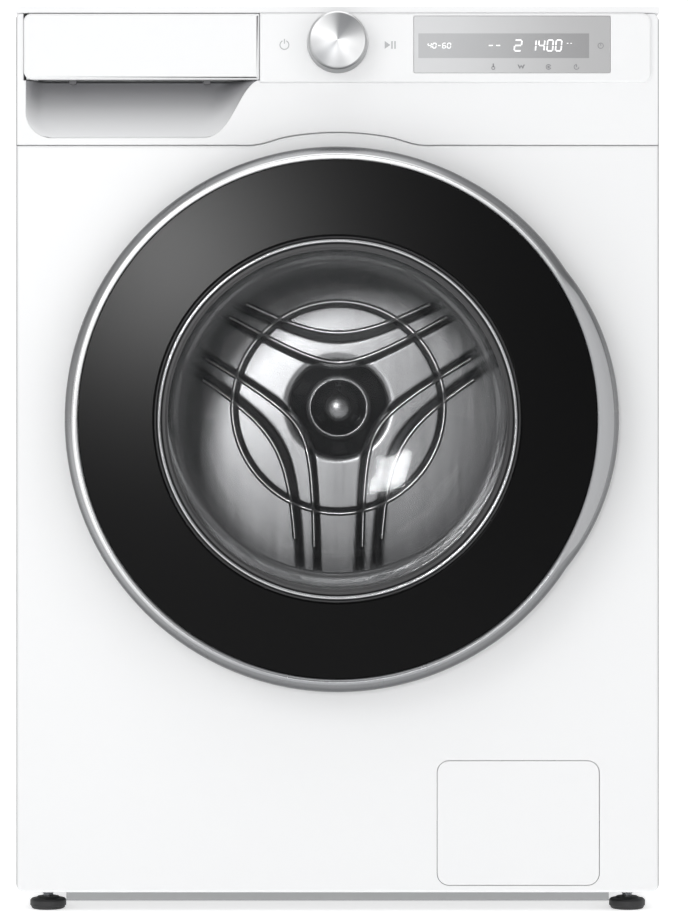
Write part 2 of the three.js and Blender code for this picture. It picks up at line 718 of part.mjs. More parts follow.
function topWeight() {
  return cut(box(-60, springX - 35, 185, 365, DRUM_Z + tubR - 40, DRUM_Z + tubR + 45), tubSpace());
}
add("counterweight_top", topWeight(), stone);
add(
  "counterweight_front",
  pipe(250, SLEEVE_R + 13, TUB_FRONT - 32, TUB_FRONT - GAP, 0, DRUM_Z),
  stone,
);

// The bellows starts on the front panel's mouth and climbs to the tub's collar.
function gasket() {
  const outline = [
    [174, SHEET + GAP], [192, SHEET + GAP], [192, 6], [178, 7], [176, 18], [188, 36],
    [SLEEVE_R + 4, 62], [SLEEVE_R + 4, TUB_FRONT - 5], [SLEEVE_R, TUB_FRONT - 5], [SLEEVE_R, 62],
    [182.5, 38], [170, 28], [161, 26], [160.5, 22], [172, 18],
  ];
  const ring = turned(outline, 0, DOOR_Z, fine);
  const climb = DRUM_Z - DOOR_Z;
  return ring.warp((vertex) => {
    const t = THREE.MathUtils.clamp((vertex[1] - 40) / 22, 0, 1);
    vertex[2] += climb * t;
  });
}
add("door_gasket", gasket(), grey);
add(
  "gasket_clamp",
  pipe(SLEEVE_R + 8, SLEEVE_R + 5, TUB_FRONT - 16, TUB_FRONT - 10, 0, DRUM_Z, fine),
  steel,
);

// ---- Suspension ----

class Helix extends THREE.Curve {
  constructor(x, y, z0, z1, r, turns) {
    super();
    Object.assign(this, { x, y, z0, z1, r, turns });
  }
  getPoint(t, target = new THREE.Vector3()) {
    const angle = t * this.turns * Math.PI * 2;
    return target.set(
      this.x + this.r * Math.cos(angle), this.y + this.r * Math.sin(angle),
      this.z0 + t * (this.z1 - this.z0),
    );
  }
}

const WIRE_R = 1.8;
function spring(side) {
  const path = new Helix(
    side * springX, springY, lugTop + WIRE_R + 5, HANGER_Z - WIRE_R - 5, 9, 8,
  );
  const section = new THREE.Shape().absarc(0, 0, WIRE_R, 0, Math.PI * 2);
  const settings = { steps: 48, curveSegments: 2.5, extrudePath: path };
  return solid(new THREE.ExtrudeGeometry(section, settings));
}
add("suspension_spring_left", spring(-1), steel);
add("suspension_spring_right", spring(1), steel);

const DAMPER_IN = 57; // from the tub's side to the damper
const damperX = tubR - DAMPER_IN;
const DAMPER_Y = 250;
const DAMPER_TOP = 200;
const DAMPER_R = 15;
const DAMPER_ROD_R = 8;
const trayTop = PANEL_Z + SHEET + 4;

function damperCylinder(side) {
  const inside = DAMPER_ROD_R + 1;
  return upright(
    [[0, trayTop + GAP], [DAMPER_R + 4, trayTop + GAP], [DAMPER_R + 4, 32], [DAMPER_R, 40],
      [DAMPER_R, DAMPER_TOP], [inside, DAMPER_TOP], [inside, 60], [0, 60]],
    side * damperX, DAMPER_Y,
  );
}

function damperRod(side) {
  return cut(post(DAMPER_ROD_R, 110, DRUM_Z - tubRise(damperX) + 43, side * damperX, DAMPER_Y), tubSpace());
}
for (const [word, side] of [["left", -1], ["right", 1]]) {
  add(`damper_cylinder_${word}`, damperCylinder(side), dark);
  add(`damper_rod_${word}`, damperRod(side), steel);
}

// ---- Drum ----

function drumShell() {
  const skin = 2;
  return turned(
    [[DRUM_MOUTH_R, DRUM_FRONT + 6], [DRUM_MOUTH_R + 6, DRUM_FRONT], [DRUM_R - 12, DRUM_FRONT + 8],
      [DRUM_R, DRUM_FRONT + 22], [DRUM_R, DRUM_BACK], [DRUM_R - skin, DRUM_BACK],
      [DRUM_R - skin, DRUM_FRONT + 23], [DRUM_R - 13, DRUM_FRONT + 10],
      [DRUM_MOUTH_R + 7, DRUM_FRONT + 2.4], [DRUM_MOUTH_R + 2, DRUM_FRONT + 7]],
    0, DRUM_Z, fine,
  );
}
add("drum_shell", drumShell(), steel);

const STAR_ARM = 175;
const BACK_THICK = 3;
// The back wall is pressed with a dome over the shaft and a three-armed star.
function drumBack() {
  const y = DRUM_BACK - BACK_THICK;
  const edge = DRUM_R - 2 - GAP;
  const disc = turned(
    [[0, y - 14], [14, y - 12], [24, y - 6], [26, y], [edge, y], [edge, DRUM_BACK], [0, DRUM_BACK]],
    0, DRUM_Z, fine,
  );
  const arm = new THREE.Shape();
  arm.moveTo(-30, 0);
  arm.lineTo(30, 0);
  arm.quadraticCurveTo(34, STAR_ARM / 2, 58, STAR_ARM);
  arm.lineTo(-58, STAR_ARM);
  arm.quadraticCurveTo(-34, STAR_ARM / 2, -30, 0);
  const straight = slab(arm, y - 4, y + 1, 6);
  const arms = [60, 180, 300].map((turn) =>
    straight.rotate([0, turn, 0]).translate([0, 0, DRUM_Z]),
  );
  return join(disc, ...arms);
}
add("drum_back", drumBack(), steel);

// Hollow paddles in the real machine; each stands on the drum's wall and follows its curve.
const LIFTER_HIGH = 52;
function lifter(turn) {
  const foot = DRUM_R - 2 - GAP;
  const shape = new THREE.Shape();
  shape.moveTo(-34, foot);
  shape.bezierCurveTo(-24, foot - 12, -20, foot - LIFTER_HIGH, -8, foot - LIFTER_HIGH);
  shape.lineTo(8, foot - LIFTER_HIGH);
  shape.bezierCurveTo(20, foot - LIFTER_HIGH, 24, foot - 12, 34, foot);
  const ridge = slab(shape, DRUM_FRONT + 30, DRUM_BACK - 22, 5).intersect(
    rod(foot, 0, DEPTH, 0, 0, fine),
  );
  return ridge.rotate([0, turn, 0]).translate([0, 0, DRUM_Z]);
}
[0, 120, 240].forEach((turn, i) => add(`drum_lifter_${i + 1}`, lifter(turn), silver));

// Cast spider with the pressed-in shaft.
function spider() {
  const [, , frontY, frontW] = BEARING_FRONT;
  const shaft = turned(
    [[0, DRUM_BACK + GAP], [30, DRUM_BACK + GAP], [30, TUB_BACK - 10], [SHAFT_R + 3, TUB_BACK],
      [SHAFT_R - GAP, TUB_BACK], [SHAFT_R - GAP, frontY + frontW + 4],
      [SHAFT_END_R - GAP, frontY + frontW + 4], [SHAFT_END_R - GAP, BELT_Y + BELT_WIDTH + 6],
      [0, BELT_Y + BELT_WIDTH + 6]],
    0, DRUM_Z,
  );
  const beam = box(-14, 14, DRUM_BACK + GAP, DRUM_BACK + 12, 0, DRUM_R - 8);
  const beams = [60, 180, 300].map((turn) => beam.rotate([0, turn, 0]).translate([0, 0, DRUM_Z]));
  return join(shaft, ...beams);
}
add("drum_spider", spider(), zinc);

function bearing([outer, inner, y, width]) {
  return pipe(outer, inner, y, y + width, 0, DRUM_Z);
}
add("bearing_front", bearing(BEARING_FRONT), steel);
add("bearing_rear", bearing(BEARING_REAR), steel);

// ---- Drive ----

function drumPulley() {
  const y0 = BELT_Y - 3;
  const y1 = BELT_Y + BELT_WIDTH + 3;
  const middle = (y0 + y1) / 2;
  return turned(
    [[SHAFT_END_R, y0], [24, y0], [24, middle - 2], [PULLEY_R - 10, middle - 2], [PULLEY_R - 10, BELT_Y - 2],
      [PULLEY_R, BELT_Y - 2], [PULLEY_R, BELT_Y + BELT_WIDTH + 2],
      [PULLEY_R - 10, BELT_Y + BELT_WIDTH + 2], [PULLEY_R - 10, middle + 2], [24, middle + 2], [24, y1],
      [SHAFT_END_R, y1]],
    0, DRUM_Z, fine,
  );
}
add("drum_pulley", drumPulley(), zinc);

function motor() {
  const body = turned(
    [[0, 345], [50, 345], [62, 357], [62, 462], [50, 474], [0, 474]], MOTOR_X, motorZ,
  );
  const hanger = box(MOTOR_X - 24, MOTOR_X + 24, 355, 420, motorZ + 30, DRUM_Z - tubR + 12);
  const shaftHole = rod(6, 420, 480, MOTOR_X, motorZ);
  return cut(join(body, hanger), tubSpace(), shaftHole);
}
add("drive_motor", motor(), dark);

function motorPulley() {
  return turned(
    [[0, 430], [5, 430], [5, BELT_Y - 4], [MOTOR_PULLEY_R, BELT_Y - 4],
      [MOTOR_PULLEY_R, BELT_Y + BELT_WIDTH + 4], [0, BELT_Y + BELT_WIDTH + 4]],
    MOTOR_X, motorZ,
  );
}
add("motor_pulley", motorPulley(), steel);

// The belt's outline: round each pulley and straight along the two outer tangents.
function beltOutline(grow) {
  const far = PULLEY_R + grow;
  const near = MOTOR_PULLEY_R + grow;
  const dx = MOTOR_X;
  const dz = motorZ - DRUM_Z;
  const along = Math.atan2(dz, dx);
  const open = Math.acos((far - near) / Math.hypot(dx, dz));
  const shape = new THREE.Shape();
  shape.absarc(0, DRUM_Z, far, along + open, along - open + Math.PI * 2, false);
  shape.absarc(MOTOR_X, motorZ, near, along - open, along + open, false);
  return shape;
}

const BELT_THICK = 3;
const BELT_CLEAR = 1;
add(
  "drive_belt",
  cut(
    slab(beltOutline(BELT_CLEAR + BELT_THICK), BELT_Y, BELT_Y + BELT_WIDTH, 12),
    slab(beltOutline(BELT_CLEAR), BELT_Y - 1, BELT_Y + BELT_WIDTH + 1, 12),
  ),
  dark,
);

// ---- Drain ----

const PUMP_Z = FLAP_Z + FLAP_HIGH / 2;
const PUMP_R = FILTER_R + 8;
const PUMP_BACK = 112;

function drainPump() {
  const body = rod(PUMP_R, 12, PUMP_BACK, FLAP_X, PUMP_Z, round);
  const drive = rod(PUMP_R - 10, PUMP_BACK - 1, PUMP_BACK + 55, FLAP_X, PUMP_Z);
  const stand = box(FLAP_X - 18, FLAP_X + 18, 40, 100, trayTop + GAP, PUMP_Z - PUMP_R + 6);
  const spout = post(14, PUMP_Z + PUMP_R - 8, PUMP_Z + PUMP_R + 12, FLAP_X, 80);
  return cut(
    join(body, drive, stand, spout),
    rod(FILTER_R + PLAY, 11, PUMP_BACK - 8, FLAP_X, PUMP_Z, round),
    post(10, PUMP_Z, PUMP_Z + PUMP_R + 20, FLAP_X, 80),
  );
}
add("drain_pump", drainPump(), dark);

function drainFilter() {
  const body = turned(
    [[0, 9], [FILTER_R, 9], [FILTER_R, 26], [FILTER_R - 8, 26], [FILTER_R - 8, 56], [FILTER_R - 10, 56],
      [FILTER_R - 10, 22], [0, 22]],
    FLAP_X, PUMP_Z,
  );
  return join(body, box(FLAP_X - 24, FLAP_X + 24, 5.5, 10, PUMP_Z - 4, PUMP_Z + 4));
}
add("drain_filter", drainFilter(), grey);

function filterFlap() {
  const shape = roundedRectangle(
    FLAP_X - FLAP_WIDTH / 2, FLAP_X + FLAP_WIDTH / 2, FLAP_Z, FLAP_Z + FLAP_HIGH, FLAP_CORNER,
  );
  return slab(shape, 0, 2.5, 6);
}
add("filter_flap", filterFlap(), white);

// A rubber bellows from the underside of the tub down to the pump.
function sumpHose() {
  const x = 110;
  const y = 150;
  const points = [
    [x, y, DRUM_Z - tubR + 26], [x, y, DRUM_Z - tubR - 6], [x + 18, y - 18, 178],
    [FLAP_X, 84, 162], [FLAP_X, 80, 148], [FLAP_X, 80, PUMP_Z + PUMP_R + 13],
  ];
  return cut(tube(points, 13, 12, 10), tubSpace());
}
add("sump_hose", sumpHose(), dark);

const bounds = new THREE.Box3().setFromObject(machine);
machine.position.y = -(bounds.min.y + bounds.max.y) / 2;

export default machine;
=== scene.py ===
import math

import bmesh
import bpy
from mathutils import Matrix, Vector


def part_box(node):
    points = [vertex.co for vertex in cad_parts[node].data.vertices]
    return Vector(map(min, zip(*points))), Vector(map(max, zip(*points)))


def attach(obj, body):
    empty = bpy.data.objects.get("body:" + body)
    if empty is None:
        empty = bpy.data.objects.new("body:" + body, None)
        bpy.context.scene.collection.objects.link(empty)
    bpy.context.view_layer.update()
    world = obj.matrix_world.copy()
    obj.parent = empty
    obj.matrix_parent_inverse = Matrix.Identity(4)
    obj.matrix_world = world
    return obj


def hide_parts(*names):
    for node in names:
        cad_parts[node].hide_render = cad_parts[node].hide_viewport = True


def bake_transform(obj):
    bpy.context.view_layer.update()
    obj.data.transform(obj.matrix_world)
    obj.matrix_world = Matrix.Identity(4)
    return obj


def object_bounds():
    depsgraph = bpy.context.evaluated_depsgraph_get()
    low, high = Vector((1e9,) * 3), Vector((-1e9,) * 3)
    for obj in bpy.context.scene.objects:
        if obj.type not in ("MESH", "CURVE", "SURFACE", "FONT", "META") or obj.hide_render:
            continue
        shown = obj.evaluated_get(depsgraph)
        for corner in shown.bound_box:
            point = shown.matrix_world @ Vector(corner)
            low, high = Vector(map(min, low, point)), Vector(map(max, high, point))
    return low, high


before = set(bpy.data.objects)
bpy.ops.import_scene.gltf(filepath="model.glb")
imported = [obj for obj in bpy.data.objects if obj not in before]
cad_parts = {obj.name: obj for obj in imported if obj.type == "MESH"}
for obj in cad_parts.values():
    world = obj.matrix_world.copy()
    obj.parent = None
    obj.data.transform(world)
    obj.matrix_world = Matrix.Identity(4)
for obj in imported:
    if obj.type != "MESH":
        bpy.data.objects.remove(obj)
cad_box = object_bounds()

# ---- Studio: a pale floor that sweeps up into a pale wall, soft lamps and the camera ----
# Nothing here belongs to the machine. The camera looks straight at the front, at half height.

mm = 0.001
low, high = (Vector(corner) for corner in cad_box)


def corners(node):
    """A CAD node's lowest and highest corners at rest."""
    return [Vector(corner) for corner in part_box(node)]


panel_low, panel_high = corners("front_panel")
FRONT_Y = panel_low.y
VIEW_DISTANCE = 3.0
FRAME_WIDE = 688
FRAME_HIGH = 920
MACHINE_SHARE = 0.985  # of the picture's height
FLOOR_NEAR = -60.0
FLOOR_FAR = 13.0
FLOOR_BEND = 3.0
FLOOR_SIDE = 60.0
WALL_TOP = 14.0


class Value:
    """A number in a finish's node tree, with Python's operators."""

    def __init__(self, finish, socket):
        self.finish = finish
        self.socket = socket

    def _maths(self, operation, first, second=0.0):
        return self.finish.node("ShaderNodeMath", {"operation": operation}, {0: first, 1: second})

    def __add__(self, other):
        return self._maths("ADD", self, other)

    def __sub__(self, other):
        return self._maths("SUBTRACT", self, other)

    def __rsub__(self, other):
        return self._maths("SUBTRACT", other, self)

    def __mul__(self, other):
        return self._maths("MULTIPLY", self, other)

    def __truediv__(self, other):
        return self._maths("DIVIDE", self, other)

    def __pow__(self, other):
        return self._maths("POWER", self, other)

    __radd__ = __add__
    __rmul__ = __mul__

    def apply(self, operation, other=0.0):
        return self._maths(operation, self, other)

    def between(self, start, end, to_low=0.0, to_high=1.0):
        """This number's place from start to end, smoothed and held inside the two results."""
        settings = {"interpolation_type": "SMOOTHSTEP", "clamp": True}
        return self.finish.node(
            "ShaderNodeMapRange", settings, {0: self, 1: start, 2: end, 3: to_low, 4: to_high}
        )


class Finish:
    """A material on one Principled shader; constants go on its sockets, changes through nodes."""

    def __init__(self, name, colour, roughness, metallic=0.0, **constants):
        self.material = bpy.data.materials.new(name)
        self.material.use_nodes = True
        self.tree = self.material.node_tree
        self.shader = self.tree.nodes["Principled BSDF"]
        self.shader.inputs["Base Color"].default_value = (*colour, 1)
        self.shader.inputs["Roughness"].default_value = roughness
        self.shader.inputs["Metallic"].default_value = metallic
        for key, value in constants.items():
            self.shader.inputs[key.replace("_", " ")].default_value = value
        self.place = self.node("ShaderNodeTexCoord", out="Object")

    def node(self, kind, settings=None, inputs=None, out=0):
        made = self.tree.nodes.new(kind)
        for key, value in (settings or {}).items():
            setattr(made, key, value)
        for key, value in (inputs or {}).items():
            self.set(made.inputs[key], value)
        return Value(self, made.outputs[out])

    def set(self, socket, value):
        if isinstance(value, Value):
            self.tree.links.new(value.socket, socket)
        elif isinstance(value, tuple) and len(value) == 3 and socket.type == "RGBA":
            socket.default_value = (*value, 1)
        else:
            socket.default_value = value

    def feed(self, name, value):
        self.set(self.shader.inputs[name], value)

    def axes(self):
        """The place's X, Y and Z."""
        split = self.node("ShaderNodeSeparateXYZ", inputs={0: self.place}).socket.node
        return [Value(self, socket) for socket in split.outputs]

    def noise(self, scale, detail=3.0, stretch=(1, 1, 1)):
        """Cloudy noise from 0 to 1; scale is in patches per metre."""
        place = self.node("ShaderNodeMapping", inputs={"Vector": self.place, "Scale": stretch})
        return self.node(
            "ShaderNodeTexNoise", inputs={"Vector": place, "Scale": scale, "Detail": detail}
        )

    def blend(self, factor, first, second):
        """The first colour where factor is 0 and the second where it is 1."""
        return self.node(
            "ShaderNodeMix", {"data_type": "RGBA"}, {0: factor, 6: first, 7: second}, out=2
        )

    def bump(self, height, strength, distance=0.0002):
        sizes = {"Strength": strength, "Distance": distance, "Height": height}
        self.feed("Normal", self.node("ShaderNodeBump", inputs=sizes))


def shaded(colour, share):
    """The colour, darker or lighter by a share."""
    return tuple(channel * share for channel in colour)


def surface(name, colour, roughness, metallic=0.0, grain=900, relief=0.06, drift=0.03, **constants):
    """A finish with a fine grain, a slow drift of shade and a little wear in its gloss."""
    finish = Finish(name, colour, roughness, metallic, **constants)
    slow = finish.noise(6, 2)
    fine = finish.noise(grain, 4)
    finish.feed("Base Color", finish.blend(slow, shaded(colour, 1 - drift), shaded(colour, 1 + drift)))
    finish.feed("Roughness", (fine * 0.12 + roughness - 0.06).apply("MAXIMUM", 0.02))
    finish.bump(fine, relief)
    return finish


def keep(obj, finish, body=None, nodes=()):
    """Gives a new piece its finish, its body and the CAD nodes that it stands for."""
    obj.data.materials.clear()
    obj.data.materials.append(finish.material)
    if body:
        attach(obj, body)
    if nodes:
        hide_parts(*nodes)


def mesh_piece(name, bm, sharp=35):
    """Makes an object of the faces built so far, smooth but for edges that turn sharply."""
    mesh = bpy.data.meshes.new(name)
    bm.to_mesh(mesh)
    bm.free()
    obj = bpy.data.objects.new(name, mesh)
    bpy.context.scene.collection.objects.link(obj)
    for polygon in mesh.polygons:
        polygon.use_smooth = True
    mesh.set_sharp_from_angle(angle=math.radians(sharp))
    return obj


def from_rows(name, rows, closed_rows=True, closed_columns=False, caps=False, sharp=35):
    """A skin over rows of points; each row has the same number of points."""
    bm = bmesh.new()
    grid = [[bm.verts.new(point) for point in row] for row in rows]
    count = len(grid[0])
    last = len(grid) if closed_columns else len(grid) - 1
    for i in range(last):
        here, there = grid[i], grid[(i + 1) % len(grid)]
        for j in range(count if closed_rows else count - 1):
            k = (j + 1) % count
            bm.faces.new((here[j], here[k], there[k], there[j]))
    if caps:
        bm.faces.new(grid[0])
        bm.faces.new(grid[-1])
    bmesh.ops.remove_doubles(bm, verts=bm.verts, dist=1e-7)
    bmesh.ops.recalc_face_normals(bm, faces=bm.faces)
    return mesh_piece(name, bm, sharp)


def sweep_floor():
    """The floor runs flat under the machine and curves up behind it."""
    outline = [(FLOOR_NEAR, 0.0), (FLOOR_FAR, 0.0)]
    for step in range(1, 13):
        angle = step / 12 * math.pi / 2
        outline.append((FLOOR_FAR + FLOOR_BEND * math.sin(angle), FLOOR_BEND - FLOOR_BEND * math.cos(angle)))
    outline.append((FLOOR_FAR + FLOOR_BEND, WALL_TOP))
    rows = [[(x, y, z) for x in (-FLOOR_SIDE, FLOOR_SIDE)] for y, z in outline]
    floor = from_rows("studio_floor", rows, closed_rows=False, sharp=60)
    finish = surface(
        "studio_white", (0.95, 0.95, 0.95), 0.8, grain=60, relief=0.0, drift=0.004,
        Emission_Color=(1, 1, 1, 1), Emission_Strength=0.52,
    )
    floor.data.materials.append(finish.material)


def lamp(name, place, target, size, power):
    """A square soft lamp; its size is in metres and its power in watts."""
    light = bpy.data.lights.new(name, "AREA")
    light.energy = power
    light.shape = "SQUARE"
    light.size = size
    obj = bpy.data.objects.new(name, light)
    bpy.context.scene.collection.objects.link(obj)
    obj.location = place
    obj.rotation_euler = (Vector(target) - Vector(place)).to_track_quat("-Z", "Y").to_euler()


def camera():
    lens = bpy.data.cameras.new("camera")
    lens.sensor_fit = "HORIZONTAL"
    seen_high = (high.z - low.z) / MACHINE_SHARE
    lens.lens = lens.sensor_width * VIEW_DISTANCE / (seen_high * FRAME_WIDE / FRAME_HIGH)
    obj = bpy.data.objects.new("camera", lens)
    bpy.context.scene.collection.objects.link(obj)
    obj.location = (6 * mm, FRONT_Y - VIEW_DISTANCE, (low.z + high.z) / 2)
    obj.rotation_euler = (math.pi / 2, 0, 0)
    bpy.context.scene.camera = obj


sweep_floor()
camera()
machine_middle = (0, 0, 0.45)
lamp("lamp_left", (-2.2, -3.2, 2.3), machine_middle, 1.8, 22)
lamp("lamp_right", (2.6, -2.6, 1.6), machine_middle, 1.4, 6)
lamp("lamp_above", (0, -0.6, 3.2), machine_middle, 2.4, 18.5)
lamp("lamp_behind", (-0.42, -5.2, 0.92), (0, -0.3, 0.5), 0.34, 26)
world = bpy.data.worlds.new("studio_air")
world.use_nodes = True
world.node_tree.nodes["Background"].inputs["Color"].default_value = (1, 1, 1, 1)
world.node_tree.nodes["Background"].inputs["Strength"].default_value = 0.47
bpy.context.scene.world = world
bpy.context.scene.view_settings.view_transform = "Standard"

# ---- Levelling feet ----
# Each foot is a moulded rubber pad on a zinc plated threaded stud, with a lock nut under the tray.
# The stud screws into the tray's corner, so turning the foot raises or lowers that corner.


def angles(count):
    """Evenly spread angles once round, in radians."""
    return [step / count * math.tau for step in range(count)]


def turned(name, outline, at, along, steps=96, sharp=35):
    """A skin turned about a line through at; the outline is a list of (radius, distance along)."""
    along = Vector(along)
    side = along.orthogonal().normalized()
    across = along.cross(side)
    rows = []
    for angle in angles(steps):
        out = side * math.cos(angle) + across * math.sin(angle)
        rows.append([Vector(at) + out * r + along * h for r, h in outline])
    closed = outline[0][0] > 0 or outline[-1][0] > 0
    return from_rows(name, rows, closed_rows=closed, closed_columns=True, sharp=sharp)


def soften(obj, width, segments=3, angle=35):
    """Rounds the piece's sharp edges a little, as moulded and pressed edges are."""
    bevel = obj.modifiers.new("soft_edges", "BEVEL")
    bevel.width = width
    bevel.segments = segments
    bevel.limit_method = "ANGLE"
    bevel.angle_limit = math.radians(angle)
    bevel.harden_normals = True
    return obj


PAD_TOP = 11.6 * mm
THREAD_R = 5 * mm
THREAD_ROOT_R = 4.4 * mm
PITCH = 1.5 * mm
NUT_R = 9 * mm
NUT_LOW = 15.2 * mm
NUT_HIGH = 20 * mm
rubber = surface("foot_rubber", (0.022, 0.022, 0.023), 0.55, grain=1400, relief=0.25)
plated = surface("zinc_plate", (0.62, 0.63, 0.65), 0.28, 1.0, grain=700, relief=0.05, drift=0.06)


def foot(node, body):
    """A pad, a stud with its thread and a lock nut, all on the foot's own body."""
    lo, hi = corners(node)
    at = ((lo.x + hi.x) / 2, (lo.y + hi.y) / 2, lo.z)
    r = (hi.x - lo.x) / 2
    pad = [(0, 0), (r - 2.5 * mm, 0), (r - 1.2 * mm, 1.2 * mm), (r - 1.2 * mm, 2.4 * mm), (r, 3 * mm),
           (r, 8 * mm), (r - 1.5 * mm, 9.6 * mm), (11.5 * mm, 10 * mm), (10 * mm, PAD_TOP), (0, PAD_TOP)]
    piece = soften(turned(f"{node}_pad", pad, at, (0, 0, 1)), 0.4 * mm)
    keep(piece, rubber, body, [node])
    stud = [(0, PAD_TOP), (THREAD_ROOT_R, PAD_TOP)]
    top = hi.z - lo.z
    turns = int((top - 13 * mm) / PITCH)
    for turn in range(turns):
        z = 12 * mm + turn * PITCH
        stud += [(THREAD_ROOT_R, z), (THREAD_R, z + PITCH / 2)]
    stud += [(THREAD_ROOT_R, top - 0.6 * mm), (0, top - 0.6 * mm)]
    keep(turned(f"{node}_stud", stud, at, (0, 0, 1), 32), plated, body)
    nut = [
        [(at[0] + NUT_R * math.cos(a), at[1] + NUT_R * math.sin(a), lo.z + z) for a in angles(6)]
        for z in (NUT_LOW, NUT_HIGH)
    ]
    nut_piece = soften(from_rows(f"{node}_nut", nut, caps=True), 0.5 * mm)
    keep(nut_piece, plated, body)


for end in ("front", "rear"):
    for side in ("left", "right"):
        foot(f"foot_{end}_{side}", f"foot_{end[0]}{side[0]}")

# ---- Cabinet: side panels, front panel, rear panel, worktop and base tray ----
# The cabinet is deep drawn and folded sheet steel under white enamel, with rounded front edges.
# The worktop is a white moulding that drops over it, and the base is a grey moulded tray.

WHITE = (0.84, 0.845, 0.852)
enamel = surface("white_enamel", WHITE, 0.3, grain=1100, relief=0.035, drift=0.006)
white_plastic = surface("white_plastic", WHITE, 0.34, grain=1600, relief=0.05, drift=0.006)
grey_plastic = surface("grey_plastic", (0.34, 0.345, 0.35), 0.55, grain=1500, relief=0.2)
EDGE_R = 3 * mm


def shade_folds(finish):
    """Painted shade: the white is blended to grey along the folded edges at the cabinet's two sides."""
    across = finish.axes()[0].apply("ABSOLUTE")
    # Painted shade: this mask greys the last two millimetres before each side fold.
    fold = across.between(panel_high.x - 2.2 * mm, panel_high.x - 0.5 * mm)
    slow = finish.noise(6, 2)
    plain = finish.blend(slow, shaded(WHITE, 0.994), shaded(WHITE, 1.006))
    finish.feed("Base Color", finish.blend(fold, plain, shaded(WHITE, 0.5)))
    return finish


front_enamel = shade_folds(surface("front_enamel", WHITE, 0.3, grain=1100, relief=0.035))
front_plastic = shade_folds(surface("front_plastic", WHITE, 0.34, grain=1600, relief=0.05))
SHEET = 1.2 * mm
WAVE_SHOULDER = 95 * mm
WAVE_CREST = 48 * mm
ring_low, ring_high = corners("door_ring")
glass_low, glass_high = corners("door_glass_ring")
fascia_low, fascia_high = corners("control_fascia")
DOOR_Z = (glass_low.z + glass_high.z) / 2
DOOR_R = -ring_low.x
WAVE_RISE = 16 * mm
SEAM_Z = DOOR_Z + 256 * mm
SEAM_GAP = 0.35 * mm


def arc(x, z, r, start, end, steps=8):
    """Points round an arc from one angle to another, in degrees."""
    turns = [math.radians(start + (end - start) * i / steps) for i in range(steps + 1)]
    return [(x + r * math.cos(a), z + r * math.sin(a)) for a in turns]


def seam(lift, steps=64):
    """The seam between front panel and fascia, right to left: flat, with a wave over the door."""
    points = []
    for step in range(steps + 1):
        x = WAVE_SHOULDER - 2 * WAVE_SHOULDER * step / steps
        t = min(max((WAVE_SHOULDER - abs(x)) / (WAVE_SHOULDER - WAVE_CREST), 0), 1)
        crest = DOOR_Z + math.sqrt((DOOR_R + WAVE_RISE) ** 2 - x * x)
        points.append((x, SEAM_Z + lift + (crest - SEAM_Z) * t * t * (3 - 2 * t)))
    return points


def rounded(x0, x1, z0, z1, r, steps=8):
    """A rectangle with round corners, anticlockwise from its lower left."""
    return (
        arc(x0 + r, z0 + r, r, 180, 270, steps) + arc(x1 - r, z0 + r, r, 270, 360, steps)
        + arc(x1 - r, z1 - r, r, 0, 90, steps) + arc(x0 + r, z1 - r, r, 90, 180, steps)
    )


def inset(loop, distance):
    """The loop drawn in by a distance; it runs anticlockwise."""
    moved = []
    for i, here in enumerate(loop):
        before, after = Vector(loop[i - 1]), Vector(loop[(i + 1) % len(loop)])
        first = (Vector(here) - before).normalized()
        second = (after - Vector(here)).normalized()
        normal = Vector((-first.y - second.y, first.x + second.x)).normalized()
        spread = max(normal.dot(Vector((-first.y, first.x))), 0.35)
        moved.append(tuple(Vector(here) + normal * distance / spread))
    return moved


def filled(loops):
    """A flat mesh between an outer loop and the holes in it, as (points, faces)."""
    curve = bpy.data.curves.new("outline", "CURVE")
    curve.dimensions = "2D"
    curve.fill_mode = "BOTH"
    for loop in loops:
        spline = curve.splines.new("POLY")
        spline.points.add(len(loop) - 1)
        for point, (x, z) in zip(spline.points, loop):
            point.co = (x, z, 0, 1)
        spline.use_cyclic_u = True
    holder = bpy.data.objects.new("outline", curve)
    mesh = bpy.data.meshes.new_from_object(holder)
    bpy.data.objects.remove(holder)
    bpy.data.curves.remove(curve)
    points = [tuple(v.co.xy) for v in mesh.vertices]
    faces = [tuple(p.vertices) for p in mesh.polygons]
    bpy.data.meshes.remove(mesh)
    return points, faces


def keep_fronts_flat(obj):
    """Faces that look straight forwards or back stay flat, so that no shade creeps over them."""
    for polygon in obj.data.polygons:
        polygon.use_smooth = abs(polygon.normal.y) < 0.999


